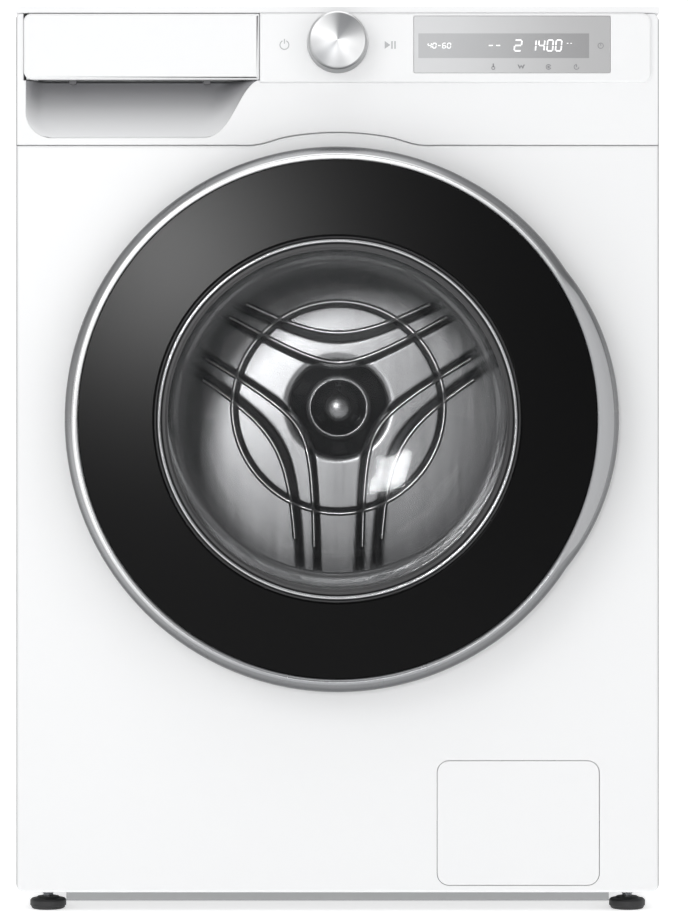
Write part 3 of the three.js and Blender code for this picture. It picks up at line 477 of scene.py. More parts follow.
def pan(name, outer, holes, front, back, radius, thickness=SHEET, steps=5, closed=False):
    """A pressed pan: flat front with holes, rounded edge and folded sides, seen from the front.

    With closed, the back is filled too, so that the piece is a solid plate.
    """
    bm = bmesh.new()
    layers = [(front, inset(outer, radius)), (back, outer)]
    for depth, loop in layers[:2 if closed else 1]:
        points, faces = filled([loop, *holes])
        verts = [bm.verts.new((x, depth, z)) for x, z in points]
        for face in faces:
            bm.faces.new([verts[i] for i in face])
    rings = []
    for step in range(steps + 1):
        angle = step / steps * math.pi / 2
        drawn = inset(outer, radius * (1 - math.sin(angle)))
        rings.append((front + radius * (1 - math.cos(angle)), drawn))
    rings.append((back, outer))
    walls = [rings]
    if closed:
        walls += [[(front, hole), (back, hole)] for hole in holes]
    for wall in walls:
        rows = [[bm.verts.new((x, depth, z)) for x, z in loop] for depth, loop in wall]
        for here, there in zip(rows, rows[1:]):
            for j in range(len(here)):
                k = (j + 1) % len(here)
                bm.faces.new((here[j], here[k], there[k], there[j]))
    bmesh.ops.remove_doubles(bm, verts=bm.verts, dist=2e-6)
    bmesh.ops.recalc_face_normals(bm, faces=bm.faces)
    flat = max((f for f in bm.faces if abs(f.normal.y) > 0.99), key=lambda f: -f.calc_center_median().y)
    if flat.normal.y > 0:
        bmesh.ops.reverse_faces(bm, faces=bm.faces)
    obj = mesh_piece(name, bm, 40)
    keep_fronts_flat(obj)
    if not closed:
        wall = obj.modifiers.new("sheet", "SOLIDIFY")
        wall.thickness = thickness
        wall.offset = -1
    return obj


flap_low, flap_high = corners("filter_flap")
CORNER_R = 8 * mm
FLAP_GAP = 0.45 * mm
FLAP_R = 11 * mm
MOUTH_R = 180 * mm


def front_panel():
    """The panel with its ways for the door's seal, the filter flap and the latch hook."""
    left, right = panel_low.x, panel_high.x
    outer = arc(left + CORNER_R, panel_low.z + CORNER_R, CORNER_R, 180, 270)
    outer += arc(right - CORNER_R, panel_low.z + CORNER_R, CORNER_R, 270, 360)
    outer += [(right, SEAM_Z), *seam(0), (left, SEAM_Z)]
    flap_way = rounded(
        flap_low.x - FLAP_GAP, flap_high.x + FLAP_GAP, flap_low.z - FLAP_GAP, flap_high.z + FLAP_GAP,
        FLAP_R + FLAP_GAP,
    )
    hook_low, hook_high = corners("latch_hook")
    slot_way = rounded(
        hook_low.x - 1 * mm, hook_high.x + 6 * mm, hook_low.z - 5 * mm, hook_high.z + 5 * mm, 2 * mm,
    )
    holes = [arc(0, DOOR_Z, MOUTH_R, 0, 360 - 360 / 128, 127), flap_way, slot_way]
    piece = pan("front_panel_pressing", outer, holes, panel_low.y, panel_high.y, EDGE_R)
    keep(piece, front_enamel, "cabinet", ["front_panel"])


front_panel()


def refinish(names, finish, edge, segments=2):
    """CAD parts that keep their shape get their finish and softened edges."""
    for name in names:
        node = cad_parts[name]
        node.data.materials.clear()
        node.data.materials.append(finish.material)
        soften(node, edge, segments)


refinish(["side_panel_left", "side_panel_right", "rear_panel"], enamel, 0.5 * mm)
refinish(["top_cover"], white_plastic, 2.2 * mm, 4)
refinish(["base_tray"], grey_plastic, 1.0 * mm, 3)


def close_holes(piece, wanted=lambda edge: True):
    """Closes the open edges that are wanted with flat faces."""
    bm = bmesh.new()
    bm.from_mesh(piece.data)
    edges = [edge for edge in bm.edges if edge.is_boundary and wanted(edge)]
    bmesh.ops.holes_fill(bm, edges=edges, sides=0)
    bmesh.ops.recalc_face_normals(bm, faces=bm.faces)
    bm.to_mesh(piece.data)
    bm.free()


SWAGE_RISE = 1.2 * mm
SWAGE_SLOPE = 14 * mm
SWAGE_CORNER = 34 * mm
SWAGE_INSET = 70 * mm
SWAGE_HEIGHTS = ((90 * mm, 360 * mm), (420 * mm, 700 * mm))


def side_pressing(side):
    """Two shallow swages pressed into each side panel keep it from drumming."""
    lo, hi = corners(f"side_panel_{side}")
    sign = -1 if side == "left" else 1
    x = lo.x if sign < 0 else hi.x
    for index, (z0, z1) in enumerate(SWAGE_HEIGHTS):
        outlines = []
        for step in range(7):
            t = step / 6
            rise = SWAGE_RISE * t * t * (3 - 2 * t)
            drawn_in = SWAGE_SLOPE * t
            grown = rounded(
                lo.y + SWAGE_INSET + drawn_in, hi.y - SWAGE_INSET - drawn_in, z0 + drawn_in, z1 - drawn_in,
                SWAGE_CORNER - drawn_in,
            )
            outlines.append([(x + sign * rise, y, z) for y, z in grown])
        piece = from_rows(f"side_swage_{side}_{index + 1}", outlines, sharp=60)
        close_holes(piece)
        piece.data.set_sharp_from_angle(angle=math.radians(60))
        keep(piece, enamel, "cabinet")


side_pressing("left")
side_pressing("right")


def belt_cover():
    """A shallow round cover with four ribs pressed into it."""
    lo, hi = corners("rear_belt_cover")
    r = (hi.x - lo.x) / 2
    deep = hi.y - lo.y
    outline = [(0, deep - 1.5 * mm)]
    for rib in range(5):
        at = (24 + rib * 30) * mm
        outline += [(at, deep - 1.5 * mm), (at + 4 * mm, deep), (at + 14 * mm, deep),
                    (at + 18 * mm, deep - 1.5 * mm)]
    outline += [(r - 24 * mm, deep - 1 * mm), (r - 13 * mm, 2 * mm), (r, 2 * mm), (r, 0.2 * mm),
                (r - 14 * mm, 0.2 * mm), (r - 26 * mm, deep - 3.5 * mm), (0, deep - 4 * mm)]
    middle = ((lo.x + hi.x) / 2, lo.y, (lo.z + hi.z) / 2)
    piece = soften(turned("rear_belt_cover_pressing", outline, middle, (0, 1, 0), 128), 0.8 * mm)
    keep(piece, plated, "cabinet", ["rear_belt_cover"])


belt_cover()

# ---- Filter flap ----
# A thin white moulding that closes the way to the drain filter. It turns outwards about its lower
# edge, so that the filter behind it can be unscrewed.

flap = pan(
    "filter_flap_moulding", rounded(flap_low.x, flap_high.x, flap_low.z, flap_high.z, FLAP_R), [],
    flap_low.y, flap_high.y, 0.8 * mm, closed=True,
)
keep(flap, white_plastic, "flap", ["filter_flap"])

# ---- Control fascia, finger recess and control strip ----
# One white moulding runs across the front above the seam. Left, it is scooped out under the
# drawer for the fingers; right of the drawer a slightly raised strip carries the controls.

drawer_low, drawer_high = corners("drawer_front")
window_low, window_high = corners("display_window")
DRAWER_PLAY = 0.4 * mm
RECESS_LEFT = drawer_low.x + 2 * mm
RECESS_RIGHT = drawer_high.x - 2 * mm
RECESS_Z = 723 * mm
RECESS_TOP = drawer_low.z - DRAWER_PLAY
RECESS_CORNER = 24 * mm
RECESS_DEPTH = 18 * mm
STRIP_LOW = window_low.z - 9 * mm
STRIP_RIGHT = panel_high.x - 8 * mm


def slant(steps=14):
    """The recess's right edge, from the bottom up to the drawer: a slanted S."""
    start, end = (RECESS_RIGHT - 50 * mm, RECESS_Z), (RECESS_RIGHT, RECESS_TOP)
    pull, push = (RECESS_RIGHT - 24 * mm, RECESS_Z), (RECESS_RIGHT - 18 * mm, RECESS_TOP - 8 * mm)
    points = []
    for step in range(steps + 1):
        t = step / steps
        weights = ((1 - t) ** 3, 3 * t * (1 - t) ** 2, 3 * t * t * (1 - t), t ** 3)
        ends = (start, pull, push, end)
        points.append(tuple(sum(w * p[i] for w, p in zip(weights, ends)) for i in (0, 1)))
    return points


def fascia_moulding():
    """The face of the fascia, with the wave at its foot and open where drawer and recess are."""
    left, right, top = panel_low.x, panel_high.x, fascia_high.z
    drawer_left, drawer_right = drawer_low.x - DRAWER_PLAY, drawer_high.x + DRAWER_PLAY
    outer = [(left, SEAM_Z + SEAM_GAP), *reversed(seam(SEAM_GAP)), (right, SEAM_Z + SEAM_GAP)]
    outer += arc(right - CORNER_R, top - CORNER_R, CORNER_R, 0, 90)
    outer += [(drawer_right, top), (drawer_right, RECESS_TOP), *reversed(slant())]
    outer += arc(RECESS_LEFT + RECESS_CORNER, RECESS_Z + RECESS_CORNER, RECESS_CORNER, 270, 180, 12)
    outer += [(RECESS_LEFT, RECESS_TOP), (drawer_left, RECESS_TOP), (drawer_left, top)]
    outer += arc(left + 5 * mm, top - 5 * mm, 5 * mm, 90, 180)
    piece = pan("fascia_moulding", outer, [], FRONT_Y, fascia_high.y, 0.8 * mm, thickness=2 * mm)
    keep(piece, front_plastic, "cabinet", ["control_fascia"])


def smooth(t):
    """Eases from 0 to 1."""
    t = min(max(t, 0), 1)
    return t * t * (3 - 2 * t)


def finger_recess():
    """The scoop under the drawer, deepest at the top and easing out at both ends."""
    edge = slant(24)
    rows = []
    for row in range(33):
        z = RECESS_Z + (RECESS_TOP - RECESS_Z) * row / 32
        above = z - RECESS_Z
        left = RECESS_LEFT
        if above < RECESS_CORNER:
            left += RECESS_CORNER - math.sqrt(RECESS_CORNER ** 2 - (RECESS_CORNER - above) ** 2)
        right = edge[0][0]
        for (x0, z0), (x1, z1) in zip(edge, edge[1:]):
            if z0 <= z <= z1 and z1 > z0:
                right = x0 + (x1 - x0) * (z - z0) / (z1 - z0)
        if row == 32:
            right = RECESS_RIGHT
        points = []
        for column in range(61):
            x = left + (right - left) * smooth(column / 60)
            scoop = smooth((x - left) / (16 * mm)) * smooth((right - x) / (30 * mm))
            points.append((x, FRONT_Y + 0.3 * mm + RECESS_DEPTH * scoop * smooth(above / (58 * mm)), z))
        rows.append(points)
    piece = from_rows("finger_recess_scoop", rows, closed_rows=False, sharp=80)
    wall = piece.modifiers.new("wall", "SOLIDIFY")
    wall.thickness = 1.6 * mm
    wall.offset = -1 if piece.data.polygons[500].normal.y < 0 else 1
    # Painted shade: the scoop is painted grey and darkens to near black towards the top, where the drawer
    # front shades it.
    recess_shade_paint = surface("recess_painted_shade", (0.70, 0.705, 0.715), 0.38, grain=1600, relief=0.05, drift=0.006)
    height = recess_shade_paint.axes()[2].between(RECESS_Z, RECESS_TOP)
    recess_shade_paint.feed("Base Color", recess_shade_paint.blend(height, (0.68, 0.685, 0.695), (0.20, 0.20, 0.21)))
    keep(piece, recess_shade_paint, "cabinet")


def control_strip():
    """The raised strip, with a way for the display window."""
    left, top = drawer_high.x + DRAWER_PLAY, fascia_high.z
    outer = [(left, STRIP_LOW)]
    outer += arc(STRIP_RIGHT - 9 * mm, STRIP_LOW + 9 * mm, 9 * mm, 270, 360)
    outer += arc(STRIP_RIGHT - CORNER_R, top - CORNER_R, CORNER_R, 0, 90)
    outer += [(left, top)]
    way = rounded(
        window_low.x - 0.3 * mm, window_high.x + 0.3 * mm, window_low.z - 0.3 * mm,
        window_high.z + 0.3 * mm, 1.5 * mm, 3,
    )
    piece = pan("control_strip", outer, [way], fascia_low.y, FRONT_Y, 2.2 * mm, closed=True)
    keep(piece, white_plastic, "cabinet")


fascia_moulding()
finger_recess()
control_strip()

# ---- Detergent drawer ----
# The white front is a thick moulding with a pocket behind it for the fingertips. It is clipped to
# a grey tray with three compartments, which slides in a grey housing under the worktop.


FACE_THICK = 6 * mm
FRAME_BAR = 10 * mm
POCKET = 20 * mm
CATCHES = (-247 * mm, -122 * mm)


def drawer_front():
    """The face, the frame round the pocket behind it, and two catches under its lower edge."""
    lo, hi = drawer_low, drawer_high
    outer = arc(lo.x + CORNER_R, lo.z + CORNER_R, CORNER_R, 180, 270)
    outer += arc(hi.x - 1 * mm, lo.z + 1 * mm, 1 * mm, 270, 360, 3)
    outer += arc(hi.x - 1 * mm, hi.z - 1 * mm, 1 * mm, 0, 90, 3)
    outer += arc(lo.x + 7 * mm, hi.z - 7 * mm, 7 * mm, 90, 180)
    face = pan("drawer_front_face", outer, [], lo.y, lo.y + FACE_THICK, 2.4 * mm, closed=True)
    keep(face, white_plastic, "drawer", ["drawer_front"])
    z0, z1 = lo.z + 0.5 * mm, hi.z - 1 * mm
    left, right = lo.x + 2 * mm, hi.x - 2 * mm
    frame_outline = [
        (left, z0), (left + FRAME_BAR, z0), (left + FRAME_BAR, z0 + POCKET), (right - FRAME_BAR, z0 + POCKET),
        (right - FRAME_BAR, z0), (right, z0), (right, z1), (left, z1),
    ]
    back = pan("drawer_front_frame", frame_outline, [], lo.y + FACE_THICK, hi.y, 0.8 * mm, closed=True)
    keep(back, white_plastic, "drawer")
    for index, x in enumerate(CATCHES):
        catch = rounded(x - 3.4 * mm, x + 3.4 * mm, lo.z - 4 * mm, lo.z + 6 * mm, 1.2 * mm, 4)
        hook = pan(
            f"drawer_catch_{index + 1}", catch, [], lo.y + FACE_THICK, lo.y + 9 * mm, 0.6 * mm, closed=True,
        )
        keep(hook, catch_grey, "drawer")


catch_grey = surface("catch_grey", (0.09, 0.09, 0.095), 0.5, grain=1500, relief=0.1)
drawer_front()
refinish(["detergent_drawer", "drawer_housing"], grey_plastic, 0.5 * mm)

# ---- Display window and touch marks ----
# A flush tinted window over the display, with a darker band where the figures light up.
# The marks beside the knob and under the band are printed on touch areas that don't move.

BAND_LOW = window_low.z + 14 * mm
BAND_HIGH = window_low.z + 36.5 * mm
BAND_LEFT = window_low.x + 4.5 * mm
BAND_RIGHT = window_high.x - 20 * mm
MARK = 0.12 * mm


def display_window():
    """A pane that darkens to the right, with the band's tint laid into it."""
    finish = Finish("display_tint", (0.6, 0.6, 0.61), 0.16, Coat_Weight=0.6, Coat_Roughness=0.04)
    x, y, z = finish.axes()
    across = x.between(window_low.x, window_high.x)
    tint = finish.blend(across, (0.66, 0.665, 0.675), (0.46, 0.46, 0.465))
    band_tint = finish.blend(across, (0.50, 0.505, 0.515), (0.31, 0.31, 0.315))
    edge = 0.5 * mm
    inside = x.between(BAND_LEFT - edge, BAND_LEFT) * x.between(BAND_RIGHT, BAND_RIGHT + edge, 1, 0)
    inside = inside * z.between(BAND_LOW - edge, BAND_LOW) * z.between(BAND_HIGH, BAND_HIGH + edge, 1, 0)
    finish.feed("Base Color", finish.blend(inside, tint, band_tint))
    finish.feed("Roughness", finish.noise(400, 3) * 0.06 + 0.12)
    outer = rounded(window_low.x, window_high.x, window_low.z, window_high.z, 1.2 * mm, 4)
    plate = pan("display_window_pane", outer, [], window_low.y, window_high.y, 0.5 * mm, closed=True)
    keep(plate, finish, "cabinet", ["display_window"])


def flat_marks(name, shapes, y, finish):
    """Thin printed or lit shapes; each shape is an outline of (x, z)."""
    bm = bmesh.new()
    for outline in shapes:
        front = [bm.verts.new((px, y - MARK, pz)) for px, pz in outline]
        back = [bm.verts.new((px, y, pz)) for px, pz in outline]
        bm.faces.new(front)
        bm.faces.new(back[::-1])
        for i in range(len(outline)):
            j = (i + 1) % len(outline)
            bm.faces.new((front[j], front[i], back[i], back[j]))
    bmesh.ops.recalc_face_normals(bm, faces=bm.faces)
    keep(mesh_piece(name, bm, 30), finish, "cabinet")


def bar(x0, z0, x1, z1, wide):
    """The outline of a stroke between two points."""
    along = Vector((x1 - x0, z1 - z0)).normalized()
    side = Vector((-along.y, along.x)) * wide / 2
    return [(x0 - side.x, z0 - side.y), (x1 - side.x, z1 - side.y), (x1 + side.x, z1 + side.y),
            (x0 + side.x, z0 + side.y)]


def ring_part(x, z, r, wide, start, end, steps=20):
    """Quads round part of a ring, in degrees."""
    outside = arc(x, z, r, start, end, steps)
    inside = arc(x, z, r - wide, start, end, steps)
    return [[outside[i], outside[i + 1], inside[i + 1], inside[i]] for i in range(steps)]


SEGMENTS = {"0": "abcdef", "1": "bc", "2": "abged", "4": "fgbc", "6": "afgedc", "-": "g"}
FIGURES = (  # text, left edge, height above the band's foot, then its height, width and stroke
    ("--", 140, 6.5, 10, 4.6, 1.0), ("2", 164.5, 6.5, 10, 6.4, 1.3), ("1400", 183, 6.5, 10, 5.2, 1.25),
    ("40-60", 84, 9.1, 4.6, 3.0, 0.7), ("--", 213, 11, 5, 2.0, 0.6),
)


def digit(text, x, z, high, wide, stroke, lean=0.08):
    """Seven-segment figures from a left lower corner; returns outlines."""
    shapes = []
    for figure in text:
        w = wide if figure != "1" else stroke
        corners = {
            "a": (0, high, w, high), "b": (w, high, w, high / 2), "c": (w, high / 2, w, 0),
            "d": (0, 0, w, 0), "e": (0, high / 2, 0, 0), "f": (0, high, 0, high / 2),
            "g": (0, high / 2, w, high / 2),
        }
        for segment in SEGMENTS[figure]:
            x0, z0, x1, z1 = corners[segment]
            gap = Vector((x1 - x0, z1 - z0)).normalized() * stroke * 0.35
            shapes.append(bar(
                x + x0 + gap.x + lean * z0, z + z0 + gap.y, x + x1 - gap.x + lean * z1,
                z + z1 - gap.y, stroke,
            ))
        x += w + stroke * 2.2
    return shapes


def display_marks():
    """The lit figures, the printed marks round them, and the power and start marks."""
    lit = Finish("display_lit", (0.95, 0.95, 0.95), 0.3, Emission_Strength=0.35)
    lit.feed("Emission Color", lit.blend(lit.noise(900, 2), (0.93, 0.95, 1.0), (1.0, 1.0, 1.0)))
    shapes = []
    for text, x, up, *sizes in FIGURES:
        shapes += digit(text, x * mm, BAND_LOW + up * mm, *(size * mm for size in sizes))
    flat_marks("display_figures", shapes, window_low.y, lit)
    print_grey = surface("printed_grey", (0.24, 0.24, 0.25), 0.5, grain=2000, relief=0.02)
    z = window_low.z + 5.5 * mm
    icons = ring_part(145 * mm, z - 1 * mm, 1.8 * mm, 0.7 * mm, 0, 360)
    icons += [bar(145 * mm, z, 145 * mm, z + 3.2 * mm, 1.1 * mm)]
    icons += [[(167.5 * mm, z + 2.2 * mm), (169.5 * mm, z - 2 * mm), (171 * mm, z + 0.4 * mm),
               (172.5 * mm, z - 2 * mm), (174.5 * mm, z + 2.2 * mm), (173.2 * mm, z + 2.2 * mm),
               (172.2 * mm, z + 0.3 * mm), (171 * mm, z + 2 * mm), (169.8 * mm, z + 0.3 * mm),
               (168.8 * mm, z + 2.2 * mm)]]
    icons += ring_part(196.5 * mm, z, 2.6 * mm, 0.8 * mm, 20, 340)
    icons += ring_part(196.5 * mm, z, 1.2 * mm, 1.2 * mm, 0, 360, 12)
    icons += ring_part(222.5 * mm, z, 2.6 * mm, 0.7 * mm, 90, 360)
    icons += [bar(222.5 * mm, z, 222.5 * mm, z + 2.2 * mm, 0.8 * mm)]
    middle = (BAND_LOW + BAND_HIGH) / 2
    icons += ring_part(245 * mm, middle, 2.8 * mm, 0.6 * mm, 0, 360)
    icons += [bar(245 * mm, middle, 245 * mm, middle + 1.8 * mm, 0.6 * mm)]
    flat_marks("display_icons", icons, window_low.y, print_grey)
    pale = surface("touch_grey", (0.46, 0.465, 0.475), 0.45, grain=2000, relief=0.02)
    x, z = -49.5 * mm, 809 * mm
    touch = ring_part(x, z, 4.6 * mm, 0.9 * mm, 115, 425)
    touch += [bar(x, z + 1.2 * mm, x, z + 5.6 * mm, 0.9 * mm)]
    x = 48.5 * mm
    touch += [[(x - 4.6 * mm, z - 3.6 * mm), (x + 0.6 * mm, z), (x - 4.6 * mm, z + 3.6 * mm)]]
    touch += [bar(x + 2.2 * mm, z - 3.6 * mm, x + 2.2 * mm, z + 3.6 * mm, 1.3 * mm)]
    touch += [bar(x + 5 * mm, z - 3.6 * mm, x + 5 * mm, z + 3.6 * mm, 1.3 * mm)]
    flat_marks("touch_marks", touch, fascia_low.y, pale)


display_window()
display_marks()

# ---- Programme knob ----
# A turned aluminium cap with a spun face and a chamfer, on a plastic shaft through the
# fascia. The bright and dark fans on its face are painted reflection, and its chamfer and side
# are painted lighter at the top as painted light. Its finish is laid out about its own axis, so
# that it turns with the knob.

knob_low, knob_high = corners("programme_knob")
KNOB_Z = (knob_low.z + knob_high.z) / 2
KNOB_R = knob_high.x


def programme_knob():
    """The turned cap: painted reflection as bright and dark fans on its face, fine turning lines, and a side
    painted lighter at the top.
    """
    finish = Finish("spun_aluminium", (0.62, 0.625, 0.635), 0.32, 0.85)
    x, y, z = finish.axes()
    up = z - KNOB_Z
    radius = (x * x + up * up).apply("SQRT")
    angle = up.apply("ARCTAN2", x)
    # Painted reflection: the fans put the spun face's bright and dark lobes into its colour.
    painted_reflection_fan = (angle * 2 + 1.0).apply("COSINE") * 0.62 + (angle * 3 - 0.6).apply("COSINE") * 0.22
    painted_reflection_fan = painted_reflection_fan + (angle * 7 + 0.4).apply("COSINE") * 0.1
    light = painted_reflection_fan.between(-0.85, 0.85)
    turned_lines = finish.node(
        "ShaderNodeTexNoise", {"noise_dimensions": "1D"}, {"W": radius * 4200, "Detail": 3.0}
    )
    light = light + (turned_lines - 0.5) * 0.16
    face = finish.blend(light, (0.30, 0.305, 0.315), (0.93, 0.935, 0.94))
    on_face = y.between(knob_low.y + 0.4 * mm, knob_low.y + 0.9 * mm, 1, 0)
    # Painted light: the side and chamfer are lighter at the top and darker at the bottom.
    side = finish.blend(up.between(-KNOB_R, KNOB_R), (0.30, 0.305, 0.31), (0.86, 0.865, 0.87))
    finish.feed("Base Color", finish.blend(on_face, side, face))
    finish.feed("Metallic", on_face * -0.35 + 0.9)
    finish.feed("Roughness", turned_lines * 0.15 + 0.26)
    finish.bump(turned_lines, 0.08, 0.05 * mm)
    front = knob_low.y
    deep = fascia_low.y - 0.5 * mm - front
    outline = [(0, 0), (KNOB_R - 4.2 * mm, 0), (KNOB_R - 3.4 * mm, 0.3 * mm), (KNOB_R - 1.6 * mm, 1.9 * mm),
               (KNOB_R - 1.2 * mm, 2.6 * mm), (KNOB_R - 0.2 * mm, deep - 4.5 * mm),
               (KNOB_R, deep - 3 * mm), (KNOB_R, deep - 0.5 * mm), (KNOB_R - 0.5 * mm, deep), (3 * mm, deep),
               (3 * mm, knob_high.y - front), (0, knob_high.y - front)]
    cap = turned("programme_knob_cap", outline, (0, front, KNOB_Z), (0, 1, 0), 160, 30)
    keep(soften(cap, 0.25 * mm, 3, 25), finish, "knob", ["programme_knob"])


programme_knob()

# ---- Door: ring, black glass, porthole trim and seat ----
# The outer ring is satin chromed plastic; the bevel beside the glass carries a painted highlight,
# the ring is painted lighter towards the upper left and its outer side wall is painted dark as
# painted shade. On the right it swells into a flat grip with room behind it for the fingers; it
# swings on a hinge at the left.

ring_front = ring_low.y
ring_back = ring_high.y
GLASS_R = glass_high.x
GRIP_SHIFT = 42 * mm
GRIP_R = ring_high.x - GRIP_SHIFT
GRIP_BACK = ring_front + 20 * mm
PORT_R = 169 * mm
PORT_TRIM_R = 164.5 * mm
HINGE_X = -246 * mm
HINGE_ROOM = 24 * mm
HINGE_SPREAD = 34 * mm


def door_ring():
    """The ring, lofted round the door; its section widens and thins out at the grip."""
    rows = []
    for turn in angles(240):
        grip = GRIP_SHIFT * math.cos(turn) + math.sqrt(GRIP_R ** 2 - (GRIP_SHIFT * math.sin(turn)) ** 2)
        out = max(DOOR_R, grip if math.cos(turn) > 0 else 0)
        swell = smooth((out - DOOR_R) / (2.6 * mm))
        flat_edge = GLASS_R + 5.2 * mm + (out - 6.5 * mm - GLASS_R - 5.2 * mm) * swell
        back = ring_back + (GRIP_BACK - ring_back) * smooth((out - DOOR_R) / (1.2 * mm))
        f = ring_front
        lip = [(-2.4, 7.4), (0.35, 7.2), (0.4, 2.6), (0.9, 1.3), (2.0, 0.3), (3.4, 0)]
        section = [(GLASS_R + r * mm, f + y * mm) for r, y in lip] + [
            ((GLASS_R + 3.4 * mm + flat_edge) / 2, f + 0.1 * mm), (flat_edge, f + 0.6 * mm),
            (flat_edge + 1.3 * mm, f + 1.8 * mm), (out - 2.6 * mm, f + 5.5 * mm),
            (out - 0.7 * mm, f + 9 * mm),
            (out, f + 12.5 * mm), (out, back - 3.5 * mm), (out - 1 * mm, back - 1.2 * mm),
            (out - 3.5 * mm, back), (GLASS_R + 3 * mm, back), (GLASS_R - 2.4 * mm, back),
        ]
        rows.append([(r * math.cos(turn), y, DOOR_Z + r * math.sin(turn)) for r, y in section])
    piece = from_rows("door_ring_moulding", rows, closed_columns=True, sharp=48)
    finish = Finish("satin_chrome", (0.5, 0.505, 0.515), 0.26, 0.8, Coat_Weight=0.2)
    x, y, z = finish.axes()
    up = z - DOOR_Z
    radius = (x * x + up * up).apply("SQRT")
    bevel = radius.between(GLASS_R + 5.0 * mm, GLASS_R + 6.2 * mm, 1, 0)
    side = y.between(ring_front + 2.2 * mm, ring_front + 7 * mm)
    grip_face = x.between(0.2, 0.215) * y.between(ring_front + 1.2 * mm, ring_front + 2.2 * mm, 1, 0)
    drift = finish.noise(14, 2) * 0.05
    # Painted light: the ring is lighter towards the upper left and darker towards the lower right.
    lit = (up - x * 1.1).between(-0.2, 0.3)
    # Painted highlight: the bevel beside the glass is painted much brighter than the rest of the ring.
    bright = finish.blend(lit, (0.30, 0.305, 0.315), (0.86, 0.865, 0.87))
    body = finish.blend(lit, (0.20, 0.204, 0.21), (0.36, 0.364, 0.372))
    colour = finish.blend(bevel, body, bright)
    # Painted shade: the ring's outer side wall is painted nearly black.
    colour = finish.blend(side, colour, (0.105, 0.107, 0.112))
    colour = finish.blend(grip_face, colour, (0.36, 0.364, 0.374))
    finish.feed("Base Color", colour)
    finish.feed("Roughness", drift + 0.25 + grip_face * 0.25)
    finish.feed("Metallic", grip_face * -0.55 + 0.75)
    keep(piece, finish, "door", ["door_ring"])
    hinge_room(piece)


def hinge_room(piece):
    """Two pockets in the ring's back leave room for the hinge's knuckles."""
    room = bpy.data.meshes.new("hinge_room")
    bm = bmesh.new()
    for middle in (-HINGE_SPREAD, HINGE_SPREAD):
        made = bmesh.ops.create_cube(bm, size=1)["verts"]
        for vert in made:
            vert.co = (
                HINGE_X + vert.co.x * HINGE_ROOM, ring_back - 9 * mm + vert.co.y * HINGE_ROOM,
                DOOR_Z + middle + vert.co.z * 16 * mm,
            )
    bm.to_mesh(room)
    bm.free()
    cutter = bpy.data.objects.new("hinge_room", room)
    bpy.context.scene.collection.objects.link(cutter)
    cut = piece.modifiers.new("hinge_way", "BOOLEAN")
    cut.operation = "DIFFERENCE"
    cut.object = cutter
    bpy.context.view_layer.update()
    cut_mesh = bpy.data.meshes.new_from_object(piece.evaluated_get(bpy.context.evaluated_depsgraph_get()))
    piece.modifiers.clear()
    piece.data = cut_mesh
    bpy.data.objects.remove(cutter)


def door_glass():
    """The printed glass ring, softly glossy."""
    finish = Finish("black_glass", (0.003, 0.003, 0.0035), 0.18, Specular_IOR_Level=0.09)
    finish.feed("Roughness", finish.noise(5, 2) * 0.02 + 0.17)
    darkest, dark = (0.0008, 0.0008, 0.001), (0.0016, 0.0016, 0.0018)
    finish.feed("Base Color", finish.blend(finish.noise(8, 2), darkest, dark))
    lo, hi = glass_low, glass_high
    outline = [(PORT_R, lo.y + 1.4 * mm), (PORT_R + 0.5 * mm, lo.y + 0.4 * mm), (PORT_R + 1.6 * mm, lo.y),
               (GLASS_R - 0.6 * mm, lo.y), (GLASS_R, lo.y + 0.6 * mm), (GLASS_R, hi.y), (PORT_R, hi.y)]
    outline = [(r, y - lo.y) for r, y in outline]
    ring = turned("door_black_glass", outline, (0, lo.y, DOOR_Z), (0, 1, 0), 240, 30)
    keep_fronts_flat(ring)
    keep(ring, finish, "door", ["door_glass_ring"])


def port_trim():
    """A thin bright ring round the porthole, and the dark seat that it lies in."""
    chrome = surface("port_chrome", (0.42, 0.425, 0.435), 0.16, 1.0, grain=300, relief=0.01, drift=0.05)
    wire = 1.7 * mm
    points = [(PORT_TRIM_R + wire * math.cos(a), wire + wire * math.sin(a)) for a in angles(12)]
    rows = []
    for turn in angles(200):
        rows.append([(r * math.cos(turn), glass_low.y + y, DOOR_Z + r * math.sin(turn)) for r, y in points])
    trim = from_rows("porthole_trim", rows, closed_columns=True, sharp=60)
    keep(trim, chrome, "door")
    seat = surface("port_seat", (0.035, 0.035, 0.037), 0.35, grain=700, relief=0.08)
    deep = glass_high.y - glass_low.y
    outline = [(PORT_R + 3 * mm, deep), (PORT_R - 0.4 * mm, deep), (PORT_R - 0.4 * mm, 1.8 * mm),
               (PORT_R - 1.6 * mm, 1.5 * mm), (PORT_R - 2.4 * mm, 3.6 * mm), (PORT_TRIM_R - 2 * mm, 3.6 * mm),
               (PORT_TRIM_R - 3 * mm, 2.4 * mm), (PORT_TRIM_R - 5.5 * mm, 2.2 * mm),
               (PORT_TRIM_R - 7.5 * mm, 4 * mm), (PORT_TRIM_R - 8 * mm, deep + 0.2 * mm),
               (PORT_TRIM_R + 2 * mm, deep + 0.2 * mm)]
    piece = turned("porthole_seat", outline, (0, glass_low.y, DOOR_Z), (0, 1, 0), 200, 30)
    keep(soften(piece, 0.3 * mm, 2), seat, "door")


door_ring()
door_glass()
port_trim()
frame_grey = surface("door_frame_grey", (0.25, 0.254, 0.26), 0.5, grain=1300, relief=0.15)
refinish(["door_inner_frame"], frame_grey, 0.6 * mm)

# ---- Door bowl ----
# Pressed clear glass, deepest at the middle, clamped by its flange between frame and black glass.

bowl_low, bowl_high = corners("door_bowl")


